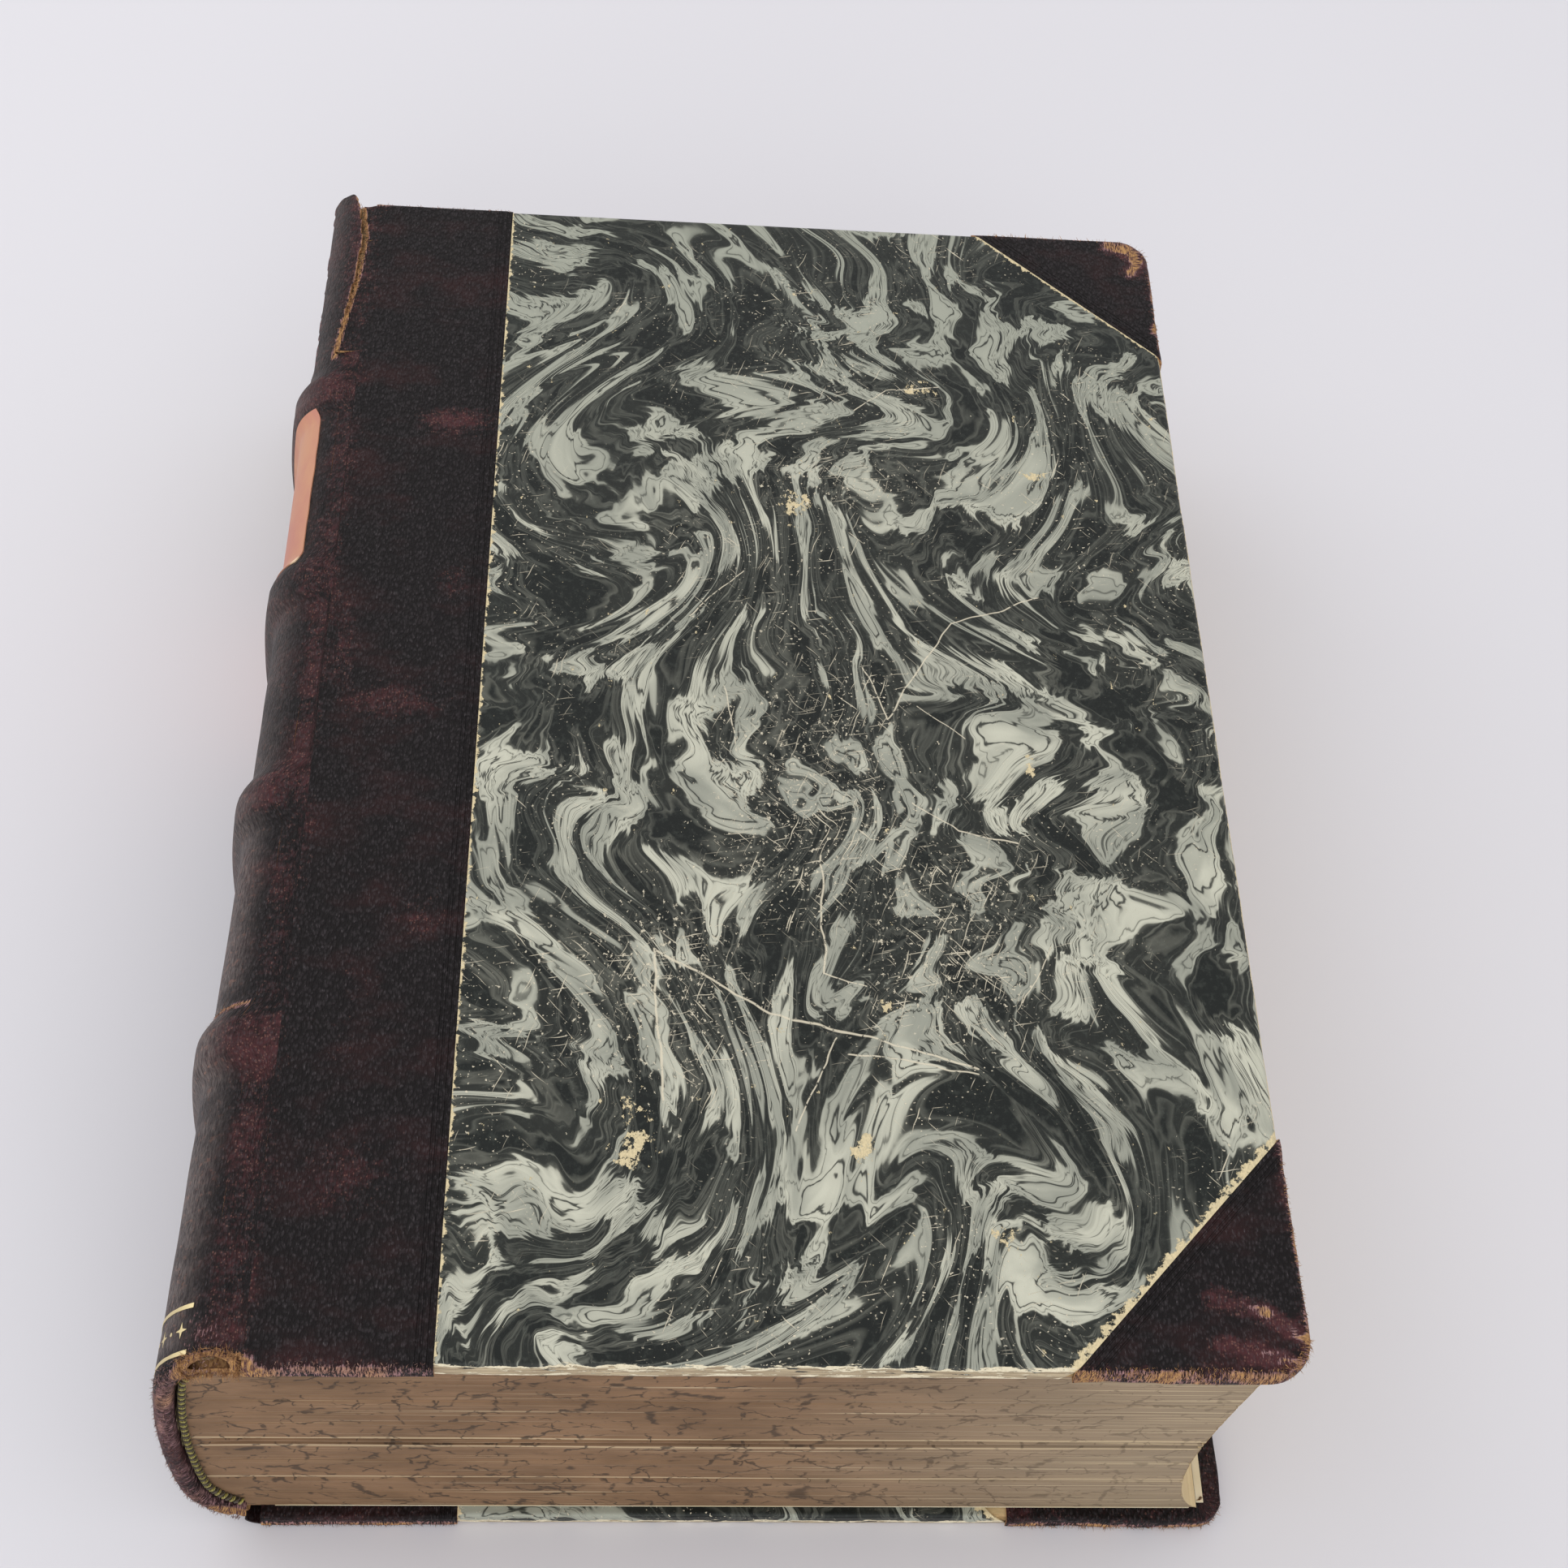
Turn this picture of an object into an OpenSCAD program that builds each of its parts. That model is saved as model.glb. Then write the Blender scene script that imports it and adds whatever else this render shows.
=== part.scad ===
// Antique half-leather book: thick text block, two hinged covers, round spine with raised bands.
// The book lies on its back cover. X runs from the spine to the fore-edge, Y from the tail to
// the head, Z up. The origin is the centre of the back cover's outer face.

/* [Book] */
// Height of the covers, tail to head
board_h = 250; // [200:1:300]
// Width of each cover, spine edge to fore-edge
board_w = 156; // [130:1:190]
// Thickness of the closed book over both covers
thickness = 60; // [48:1:72]
// How far the back cover sits towards the spine from the front cover, because the book leans
lean = 2.2; // [0:0.1:4]

/* [Covers] */
// Thickness of one finished cover
cover_t = 3.7; // [3.2:0.1:5]
// Radius of the worn fore-edge corners
corner_r = 6; // [3:0.5:10]
// Distance from a board's spine edge to the line where its leather bends
joint_w = 1.8; // [1.2:0.1:2.5]
// Gap left along the bending line
joint_gap = 0.3; // [0.2:0.05:0.5]

/* [Coverings] */
// Thickness of the leather
leather_t = 0.8; // [0.6:0.1:1.2]
// Thickness of the marbled paper
paper_t = 0.3; // [0.2:0.05:0.5]
// Thickness of a covering where it is turned in over the board's edge
turnin_t = 0.3; // [0.2:0.05:0.5]
// Width of the turned-in covering on a board's inner face
turnin_w = 14; // [8:1:20]
// Width of the leather on the front cover, from the board's spine edge
front_side_w = 27; // [20:1:40]
// Width of the leather on the back cover, from the board's spine edge
back_side_w = 31; // [20:1:40]
// Length of a leather corner along the head or tail edge
corner_leg = 36; // [25:1:45]
// Length of a tail corner along the fore-edge
tail_corner_leg = 40; // [25:1:50]
// Length of a head corner along the fore-edge
head_corner_leg = 35; // [25:1:50]
// Thickness of one endpaper
endpaper_t = 0.2; // [0.15:0.05:0.3]
// Margin of turned-in covering that a pastedown leaves bare
pastedown_margin = 3; // [2:0.5:6]

/* [Text block] */
// How far the covers stand past the pages at the fore-edge
fore_square = 5.6; // [3:0.1:8]
// How far the covers stand past the pages at head and tail
end_square = 2; // [1.5:0.1:4]
// Depth of the hollow fore-edge
fore_hollow = 4.3; // [2:0.1:7]

/* [Spine] */
// How far the spine stands out from the front board's spine edge, at the tail
spine_bulge = 14.9; // [13:0.1:17]
// How much less it stands out at the head
spine_taper = 3.4; // [0:0.1:4]
// Radius of the spine's back
spine_r = 134; // [110:1:180]
// Radius of the spine's shoulder at the front cover
front_shoulder_r = 10; // [8:0.5:12]
// Radius of the spine's shoulder at the back cover
back_shoulder_r = 16; // [12:0.5:20]
// How far the spine leather lies below a cover's outer face
shoulder_drop = 0.4; // [0.3:0.05:0.8]
// Height of the spine's most outward line above the middle of the book
apex_rise = 1; // [-3:0.5:3]
// Thickness of the card liner under the spine leather
liner_t = 0.9; // [0.6:0.1:1.2]
// Thickness of the paste between two layers of the spine
paste_t = 0.05; // [0.04:0.01:0.1]
// Thickness of the cloth and paper lining on the sewn spine
lining_t = 0.4; // [0.3:0.1:0.7]
// Thickness of a sewing tape
tape_t = 0.3; // [0.2:0.05:0.4]
// Width of a sewing tape
tape_w = 12; // [8:1:16]
// Distance of the first tape's middle from the tail edge
tape_first = 35; // [25:1:45]
// Distance between tapes
tape_pitch = 60; // [45:1:62]

/* [Raised bands] */
// Distance of the first band's middle from the tail edge
band_first = 55.5; // [45:0.5:60]
// Distance between bands
band_pitch = 47.5; // [40:0.5:48]
// Height of a band above the spine leather
band_rise = 2; // [1:0.1:3]
// Width of the leather rise over a band
band_w = 15; // [12:0.5:18]
// Width of a band's flat crest
band_crest_w = 5; // [3:0.5:7]
// Width of the band under the leather
band_core_w = 9; // [8:0.5:11]
// Distance of a band's ends from the joints
band_end = 4; // [2:0.5:6]

/* [Head and tail] */
// Depth of the tail headcap, where the leather is turned in
headcap_d = 1.2; // [0.8:0.1:1.8]
// Depth of a headband, out from the pages
headband_d = 1.4; // [1:0.1:1.5]
// Width of a headband, across the ends of the folds
headband_w = 1.8; // [1.2:0.1:3]
// Height of the torn leather flap above the head edge
flap_h = 3.5; // [1:0.5:6]
// How far the torn leather flap leans away from the front joint at its tip
flap_lean = 2; // [0:0.1:3]
// Height of the torn panel's upper edge below the front cover's outer face
tear_depth = 4; // [3:0.5:8]
// Height of the torn panel's lower edge above the surface that the book lies on
tear_floor = 9; // [6:0.5:14]
// Width of the card left standing past the torn leather
liner_step = 2.5; // [1:0.5:4]
// Length of the torn slot at the tail end of the front joint
slot_l = 4.5; // [2:0.5:6]
// Width of the torn slot
slot_w = 1.8; // [1:0.1:2.5]

/* [Title label and gold lines] */
// Thickness of the leather title label
label_t = 0.3; // [0.2:0.05:0.5]
// Share of the bands' lower slopes that the label's ends climb
label_climb = 1; // [0.2:0.1:1]
// How far the label's and gold lines' ends lie below the top of the front shoulder
label_front_fall = 0.6; // [0.5:0.1:3]
// How far the label's and gold lines' ends lie above the foot of the back shoulder
label_back_fall = 5; // [2:0.5:8]
// Thickness of a gold line
gold_t = 0.1; // [0.08:0.02:0.2]
// Width of a gold line
gold_w = 1; // [0.5:0.1:2]
// Distance of the lower gold line from the tail edge
gold_low = 2.9; // [2:0.1:5]
// Distance of the upper gold line from the tail edge
gold_high = 10.2; // [8:0.1:20]

/* [Hidden] */
BAND_COUNT = 4;
TAPE_COUNT = 4;
$fn = 64;
eps = 0.01;

// Cover section, from its outer face inward: covering, board, turn-in, pastedown
board_t = cover_t - leather_t - turnin_t - endpaper_t;
inner_z = leather_t + board_t;
core_w = board_w - leather_t;
core_h = board_h - 2 * leather_t;
core_r = corner_r - leather_t;

// Places along X and Y
back_x = -board_w / 2;
front_x = back_x + lean;
tail_y = -board_h / 2;
head_y = board_h / 2;
front_joint_x = front_x - joint_w;
back_joint_x = back_x - joint_w;
spine_top_x = front_joint_x - joint_gap;
spine_low_x = back_joint_x - joint_gap;

// Text block
block_z0 = cover_t + endpaper_t;
block_z1 = thickness - cover_t - endpaper_t;
block_h = board_h - 2 * end_square;
block_root_x = front_x + 12;
fore_low_x = back_x + board_w - fore_square;
fore_top_x = front_x + board_w - fore_square;

// Layers of the spine, as depths below the outer face of its leather
block_depth = cover_t + endpaper_t - shoulder_drop;
tape_low_depth = block_depth - paste_t;
tape_depth = tape_low_depth - tape_t;
lining_low_depth = tape_depth - paste_t;
lining_depth = lining_low_depth - lining_t;
liner_depth = leather_t + paste_t;
liner_low_depth = liner_depth + liner_t;

// Centres of the spine's three arcs at the tail
front_arc_z = thickness - shoulder_drop - front_shoulder_r;
back_arc_z = shoulder_drop + back_shoulder_r;
apex_z = thickness / 2 + apex_rise;
main_x = front_x - spine_bulge + spine_r;
front_arc_x = main_x - sqrt(pow(spine_r - front_shoulder_r, 2) - pow(front_arc_z - apex_z, 2));
back_arc_x = main_x - sqrt(pow(spine_r - back_shoulder_r, 2) - pow(back_arc_z - apex_z, 2));
front_tangent = 180 - asin((front_arc_z - apex_z) / (spine_r - front_shoulder_r));
back_tangent = 180 + asin((apex_z - back_arc_z) / (spine_r - back_shoulder_r));

band_ys = [for (i = [0:BAND_COUNT - 1]) tail_y + band_first + i * band_pitch];
last_band_y = band_ys[BAND_COUNT - 1];
// Stations over a band, from its middle
band_steps = [-band_w, -band_core_w, -band_crest_w, band_crest_w, band_core_w, band_w] / 2;
// Stations along the leather's tail end: headcap, torn slot, and the slopes between them
tail_slope = 0.3;
cap_y = tail_y + headcap_d;
slot_y0 = cap_y + tail_slope;
slot_y1 = slot_y0 + slot_w;
// Stations along the torn joint at the head
joint_tear_y = head_y - 6;
flap_root_y = head_y - 1;
flap_tip_y = head_y + flap_h;

LEATHER = "#33242a";
MARBLED = "#7f867d";
CARD = "#9c8a6b";
CLOTH = "#cfc4a6";
PAGES = "#d9c08c";
ENDPAPER = "#e6dcc0";

function ease(t) = let (u = min(max(t, 0), 1)) u * u * (3 - 2 * u);

// Rise of the leather over the raised bands at y
function band_lift(y) = band_rise * max([for (c = band_ys)
    ease((band_w / 2 - abs(y - c)) / ((band_w - band_crest_w) / 2))]);

// How far the spine has moved in towards the boards at y
function taper_at(y) = spine_taper * (y - tail_y) / board_h;

// Points first to last of an arc that runs from one angle to another in even steps
function arc(x, z, r, from, to, steps, first, last) =
    [for (i = [first:last])
        let (a = from + (to - from) * i / steps)
        [x + r * cos(a), z + r * sin(a)]];

// Steps of the line round the spine, on each shoulder and on the back between them
SHOULDER_STEPS = 10;
BACK_STEPS = 7;
// Steps of a layer along the spine
SHELL_STEPS = 6;

// Line round the spine at y, at a depth below its leather and raised by lift, from x0 at the
// front cover to x1 at the back cover
function spine_line(y, depth, lift, x0, x1) =
    let (shift = taper_at(y) - lift,
         r0 = front_shoulder_r - depth,
         r1 = spine_r - depth,
         r2 = back_shoulder_r - depth,
         a0 = acos(min(x0 - front_arc_x - shift, 0) / r0),
         a2 = 360 - acos(min(x1 - back_arc_x - shift, 0) / r2))
    concat(
        [[x0, front_arc_z + r0 * sin(a0)]],
        arc(front_arc_x + shift, front_arc_z, r0, a0, front_tangent, SHOULDER_STEPS,
            1, SHOULDER_STEPS),
        arc(main_x + shift, apex_z, r1, front_tangent, back_tangent, BACK_STEPS,
            1, BACK_STEPS - 1),
        arc(back_arc_x + shift, back_arc_z, r2, back_tangent, a2, SHOULDER_STEPS,
            0, SHOULDER_STEPS - 1),
        [[x1, back_arc_z + r2 * sin(a2)]]
    );

function reversed(list) = [for (i = [len(list) - 1:-1:0]) list[i]];

// Closed outline of a layer of the spine between two depths
function spine_layer(y, outer, inner, outer_lift, inner_lift, x0, x1) = concat(
    spine_line(y, outer, outer_lift, x0, x1),
    reversed(spine_line(y, inner, inner_lift, x0, x1)));

// Solid through the outlines, one for each y, all with the same even number of points. Each end
// is a strip between the first and second half of its outline, because a layer's end is bent.
module loft(ys, outlines) {
    count = len(outlines[0]);
    last = len(ys) - 1;
    points = [for (j = [0:last], p = outlines[j]) [p[0], ys[j], p[1]]];
    sides = [for (j = [0:last - 1], i = [0:count - 1], half = [0, 1])
        let (a = j * count + i,
             b = j * count + (i + 1) % count,
             c = b + count,
             d = a + count)
        half == 0 ? [a, b, c] : [a, c, d]];
    start = [for (i = [0:count / 2 - 2], half = [0, 1])
        half == 0 ? [count - 2 - i, i + 1, i] : [count - 1 - i, count - 2 - i, i]];
    end = [for (i = [0:count / 2 - 2], half = [0, 1])
        half == 0 ? [i, i + 1, count - 2 - i] : [i, count - 2 - i, count - 1 - i]];
    polyhedron(points, concat(start, sides, [for (f = end) [for (i = f) last * count + i]]),
        convexity = 6);
}

// Layer of the spine from y0 to y1, with the plain taper
module spine_shell(y0, y1, outer, inner, x0 = spine_top_x, x1 = spine_low_x) {
    ys = [for (k = [0:SHELL_STEPS]) y0 + (y1 - y0) * k / SHELL_STEPS];
    loft(ys, [for (y = ys) spine_layer(y, outer, inner, 0, 0, x0, x1)]);
}

// Prism along X from an outline in Y and Z, through the spine
module across_spine(outline) {
    translate([front_x - 3 * spine_bulge, 0, 0])
        rotate([90, 0, 90]) linear_extrude(6 * spine_bulge) polygon(outline);
}

// Panel torn away between the last band and the head; step leaves more of the edge standing
module torn_panel(step) {
    top = thickness - tear_depth - step;
    low = tear_floor + step;
    y0 = last_band_y + band_w / 2 + 1 + step;
    y1 = head_y + 2 * flap_h;
    span = head_y - y0;
    across_spine([
        [y0 + 1.6, low + 6], [y0 + 3, low + 1], [y0 + span * 0.35, low - 0.8],
        [y0 + span * 0.6, low + 1], [head_y, low - 0.5], [head_y, -thickness], [y1, -thickness],
        [y1, top + 0.8], [y0 + span, top + 0.6], [y0 + span * 0.86, top - 0.4],
        [y0 + span * 0.8, top + 0.5], [y0 + span * 0.62, top - 0.3], [y0 + span * 0.5, top + 0.4],
        [y0 + span * 0.33, top - 0.8], [y0 + span * 0.2, top - 1.8], [y0 + 2.4, top - 6],
        [y0 + 0.4, top - 14], [y0 + 1.2, apex_z + 2], [y0, apex_z - 8]
    ]);
}

// Plate with the board's outline, grown on all sides but the spine side, from z0 to z1
module plate(grow, z0, z1, x0 = 0) {
    w = core_w + grow;
    h = core_h + 2 * grow;
    r = core_r + grow;
    translate([x0, -h / 2, z0]) linear_extrude(z1 - z0) union() {
        square([w - r - x0, h]);
        translate([0, r]) square([w - x0, h - 2 * r]);
        for (y = [r, h - r]) translate([w - r - x0, y]) circle(r);
    }
}

// Plain rectangle of a board's inner face, short of its turned-in edges
module inner_window(z0, z1) {
    translate([-eps, turnin_w - core_h / 2, z0])
        cube([core_w - turnin_w + eps, core_h - 2 * turnin_w, z1 - z0]);
}

// Covering all over a board, wrapped over its edges and turned in
module wrapped(t) {
    difference() {
        plate(t, 0, inner_z + turnin_t);
        plate(0, leather_t, inner_z, -eps);
        inner_window(inner_z - eps, inner_z + 1);
        if (t < leather_t) plate(0, t, inner_z, -eps);
    }
}

// Plan of the leather at a cover's spine side
module side_plan(side_w) {
    translate([-board_w, -board_h, -1]) cube([board_w + side_w, 2 * board_h, cover_t + 2]);
}

// Plan of the leather corner at the head (end = 1) or the tail (end = -1)
module corner_plan(end) {
    leg = end > 0 ? head_corner_leg : tail_corner_leg;
    translate([0, 0, -1]) linear_extrude(cover_t + 2) polygon([
        [board_w - corner_leg, end * board_h / 2], [board_w - corner_leg, end * board_h],
        [2 * board_w, end * board_h], [2 * board_w, end * (board_h / 2 - leg)],
        [board_w, end * (board_h / 2 - leg)]
    ]);
}

// Each cover piece is drawn with its outer face down at z = 0 and the board's spine edge at x = 0
module cover_board(side_w) {
    union() {
        plate(0, leather_t, inner_z);
        difference() {
            plate(0, paper_t, leather_t + eps);
            side_plan(side_w);
            corner_plan(1);
            corner_plan(-1);
        }
    }
}

module cover_leather_side(side_w) {
    union() {
        intersection() {
            wrapped(leather_t);
            side_plan(side_w);
        }
        translate([-joint_w, -board_h / 2, 0]) cube([joint_w + 1, board_h, leather_t]);
    }
}

module cover_corner(end) {
    intersection() {
        wrapped(leather_t);
        corner_plan(end);
    }
}

module cover_paper_side(side_w) {
    difference() {
        wrapped(paper_t);
        side_plan(side_w);
        corner_plan(1);
        corner_plan(-1);
    }
}

module cover_pastedown() {
    sheet_h = board_h - 2 * pastedown_margin;
    union() {
        inner_window(inner_z, cover_t);
        translate([-eps, -sheet_h / 2, cover_t - endpaper_t])
            cube([board_w - pastedown_margin + eps, sheet_h, endpaper_t]);
    }
}

// Puts a cover piece in its place in the closed book
module placed(side) {
    if (side == "front")
        translate([front_x, 0, thickness]) mirror([0, 0, 1]) children();
    else
        translate([back_x, 0, 0]) children();
}

module cover_piece(side, piece) {
    side_w = side == "front" ? front_side_w : back_side_w;
    placed(side) {
        if (piece == "board") color(CARD) cover_board(side_w);
        if (piece == "leather_side") color(LEATHER) cover_leather_side(side_w);
        if (piece == "head_corner") color(LEATHER) cover_corner(1);
        if (piece == "tail_corner") color(LEATHER) cover_corner(-1);
        if (piece == "paper_side") color(MARBLED) cover_paper_side(side_w);
        if (piece == "pastedown") color(ENDPAPER) cover_pastedown();
    }
}

module front_leather_side() {
    color(LEATHER) difference() {
        cover_piece("front", "leather_side");
        translate([front_joint_x - 1, slot_y0, thickness - 2 * leather_t])
            cube([joint_w + 1, slot_w, 3 * leather_t]);
    }
}

// Pages sewn into one block, rounded at the spine and hollow at the fore-edge
module text_block() {
    ys = [-block_h / 2, block_h / 2];
    rise = block_z1 - block_z0;
    fall = fore_top_x - fore_low_x;
    chord = sqrt(rise * rise + fall * fall);
    hollow_r = (chord * chord / 4 + fore_hollow * fore_hollow) / (2 * fore_hollow);
    reach = (hollow_r - fore_hollow) / chord;
    color(PAGES) difference() {
        union() {
            loft(ys, [for (y = ys) spine_line(y, block_depth, 0, block_root_x, block_root_x)]);
            translate([block_root_x - 1, -block_h / 2, block_z0])
                rotate([90, 0, 0]) mirror([0, 0, 1]) linear_extrude(block_h) polygon([
                    [0, 0], [fore_low_x - block_root_x + 1, 0],
                    [fore_top_x - block_root_x + 1, rise], [0, rise]
                ]);
        }
        translate([(fore_low_x + fore_top_x) / 2 + reach * rise, 0,
                   (block_z0 + block_z1) / 2 - reach * fall])
            rotate([90, 0, 0]) cylinder(h = board_h, r = hollow_r, center = true, $fn = 180);
    }
}

module front_flyleaf() {
    color(ENDPAPER) translate([front_x, -block_h / 2, block_z1])
        cube([fore_top_x - front_x, block_h, endpaper_t]);
}

module back_flyleaf() {
    color(ENDPAPER) translate([front_x, -block_h / 2, cover_t])
        cube([fore_low_x - front_x, block_h, endpaper_t]);
}

function tape_y(i) = tail_y + tape_first + (i - 1) * tape_pitch;

module sewing_tape(i) {
    color(CLOTH)
        spine_shell(tape_y(i) - tape_w / 2, tape_y(i) + tape_w / 2, tape_depth, tape_low_depth);
}

// Cloth and paper glued over the tapes on the sewn folds
module spine_lining() {
    color(CLOTH) spine_shell(-block_h / 2, block_h / 2, lining_depth, lining_low_depth);
}

// Sewn band on the end of the folds, at the head (end = 1) or the tail (end = -1)
module end_band(end) {
    y = end * block_h / 2;
    color("#b3a655") spine_shell(min(y, y + end * headband_d), max(y, y + end * headband_d),
        block_depth, block_depth + headband_w);
}

module head_band() {
    end_band(1);
}

module tail_band() {
    end_band(-1);
}

// Card that stiffens the hollow back
module spine_liner() {
    color(CARD) difference() {
        spine_shell(cap_y + tail_slope, head_y, liner_depth, liner_low_depth);
        torn_panel(liner_step);
    }
}

module raised_band(i) {
    ys = [for (k = [1:4]) band_ys[i - 1] + band_steps[k]];
    x0 = spine_top_x - band_end;
    x1 = spine_low_x - band_end;
    color(CARD)
        loft(ys, [for (y = ys) spine_layer(y, liner_depth, leather_t, band_lift(y), 0, x0, x1)]);
}

// Edge of the spine leather along the front joint: set back at the torn slot and on the flap
function leather_edge(y) =
    y > slot_y0 + eps && y < slot_y1 - eps ? spine_top_x - slot_l
    : y < joint_tear_y + eps ? spine_top_x
    : y < flap_root_y + eps ? spine_top_x - flap_lean / 2
    : spine_top_x - flap_lean;

// Leather over the spine and its bands, turned in at the tail and torn away at the head
module spine_leather() {
    ys = concat([tail_y, cap_y, slot_y0, slot_y0 + tail_slope, slot_y1 - tail_slope, slot_y1],
        [for (c = band_ys, step = band_steps) c + step],
        [joint_tear_y, flap_root_y, flap_tip_y]);
    color(LEATHER) difference() {
        loft(ys, [for (y = ys) spine_layer(y, 0,
            y < cap_y + eps ? lining_depth - joint_gap : leather_t,
            band_lift(y), band_lift(y), leather_edge(y), spine_low_x)]);
        torn_panel(0);
    }
}

// X of the spine leather at a distance below the top of its shoulders at y
function shoulder_x(y, arc_x, r, fall) = arc_x + taper_at(y) - sqrt(r * r - (r - fall) * (r - fall));

module title_label() {
    climb = label_climb * (band_w - band_core_w) / 2;
    lift = label_climb * band_lift(last_band_y - band_core_w / 2);
    y0 = band_ys[BAND_COUNT - 2] + band_w / 2;
    y1 = last_band_y - band_w / 2;
    // Stations along the label, each with its rise
    ends = [[y0 - climb, lift], [y0, 0], [y1, 0], [y1 + climb, lift]];
    color("#d2946c") loft([for (e = ends) e[0]], [for (e = ends)
        spine_layer(e[0], -paste_t - label_t, -paste_t, e[1], e[1],
            shoulder_x(e[0], front_arc_x, front_shoulder_r, label_front_fall) - e[1],
            shoulder_x(e[0], back_arc_x, back_shoulder_r, label_back_fall) - e[1])]);
}

// Line of gold leaf pressed into the spine leather near the tail
module gold_line(distance) {
    y = tail_y + distance;
    color("#d9c47a") spine_shell(y - gold_w / 2, y + gold_w / 2, -paste_t - gold_t, -paste_t,
        shoulder_x(y, front_arc_x, front_shoulder_r, label_front_fall),
        shoulder_x(y, back_arc_x, back_shoulder_r, label_back_fall));
}

text_block();
front_flyleaf();
back_flyleaf();
spine_lining();
head_band();
tail_band();
spine_liner();
spine_leather();
title_label();
gold_line(gold_low);  // low_gold_line
gold_line(gold_high);  // high_gold_line
sewing_tape(1);  // sewing_tape_1
sewing_tape(2);  // sewing_tape_2
sewing_tape(3);  // sewing_tape_3
sewing_tape(4);  // sewing_tape_4
raised_band(1);  // raised_band_1
raised_band(2);  // raised_band_2
raised_band(3);  // raised_band_3
raised_band(4);  // raised_band_4
cover_piece("front", "board");  // front_board
front_leather_side();
cover_piece("front", "head_corner");  // front_head_corner
cover_piece("front", "tail_corner");  // front_tail_corner
cover_piece("front", "paper_side");  // front_paper_side
cover_piece("front", "pastedown");  // front_pastedown
cover_piece("back", "board");  // back_board
cover_piece("back", "leather_side");  // back_leather_side
cover_piece("back", "head_corner");  // back_head_corner
cover_piece("back", "tail_corner");  // back_tail_corner
cover_piece("back", "paper_side");  // back_paper_side
cover_piece("back", "pastedown");  // back_pastedown
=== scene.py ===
import functools
import math

import bmesh
import bpy
import numpy as np
from bpy.props import FloatProperty, FloatVectorProperty, IntProperty, PointerProperty
from mathutils import Matrix, Vector, noise


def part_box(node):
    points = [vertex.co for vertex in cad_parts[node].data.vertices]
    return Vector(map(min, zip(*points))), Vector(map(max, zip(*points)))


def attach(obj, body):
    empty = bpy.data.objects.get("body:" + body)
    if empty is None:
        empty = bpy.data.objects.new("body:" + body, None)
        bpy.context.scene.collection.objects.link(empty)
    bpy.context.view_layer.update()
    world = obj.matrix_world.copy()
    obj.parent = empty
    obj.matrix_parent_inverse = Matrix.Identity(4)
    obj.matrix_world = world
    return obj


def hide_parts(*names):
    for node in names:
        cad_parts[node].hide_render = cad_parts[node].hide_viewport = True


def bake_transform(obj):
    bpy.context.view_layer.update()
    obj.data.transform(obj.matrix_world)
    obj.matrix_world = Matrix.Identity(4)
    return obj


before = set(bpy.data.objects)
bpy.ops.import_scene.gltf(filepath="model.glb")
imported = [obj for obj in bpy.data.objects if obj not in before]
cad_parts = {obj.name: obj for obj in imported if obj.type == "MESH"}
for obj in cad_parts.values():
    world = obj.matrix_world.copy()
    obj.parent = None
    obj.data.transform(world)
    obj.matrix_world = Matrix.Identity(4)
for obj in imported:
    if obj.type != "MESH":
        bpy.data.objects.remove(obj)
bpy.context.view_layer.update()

bl_info = {
    "name": "Antique half-leather book",
    "version": (1, 0, 0),
    "blender": (4, 5, 0),
    "location": "3D View > Sidebar > Book",
    "description": "Finishes an old half-leather book: leather, marbled paper, pages and headbands",
    "category": "Object",
}

# Lengths in this script are in millimetres, and become metres where a mesh is made.
MM = 0.001


def box_mm(node):
    """The lowest and highest corners of a node, in millimetres."""
    low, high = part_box(node)
    return np.array(low) / MM, np.array(high) / MM


# Places taken from the frame
SIDE_LOW, SIDE_HIGH = box_mm("front_leather_side")
FRONT_X = box_mm("front_board")[0][0]
BACK_X = box_mm("back_board")[0][0]
BACK_JOINT_X = box_mm("back_leather_side")[0][0]
HALF_H = SIDE_HIGH[1]
TOP_Z = SIDE_HIGH[2]
TAIL_Y = -HALF_H
BOARD_H = 2 * HALF_H
BOARD_W = box_mm("front_head_corner")[1][0] - FRONT_X
FRONT_SIDE_W = SIDE_HIGH[0] - FRONT_X
BACK_SIDE_W = box_mm("back_leather_side")[1][0] - BACK_X
COVER_T = SIDE_HIGH[2] - SIDE_LOW[2]
PAPER_INSET = HALF_H - box_mm("front_paper_side")[1][1]
CORNER_LEG = FRONT_X + BOARD_W - box_mm("front_tail_corner")[0][0]
TAIL_LEG = box_mm("front_tail_corner")[1][1] + HALF_H
HEAD_LEG = HALF_H - box_mm("front_head_corner")[0][1]
BLOCK_LOW, BLOCK_HIGH = box_mm("text_block")
LABEL_LOW, LABEL_HIGH = box_mm("title_label")
BAND_YS = [sum(box_mm(f"raised_band_{i}")[k][1] for k in (0, 1)) / 2 for i in (1, 2, 3, 4)]

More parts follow.
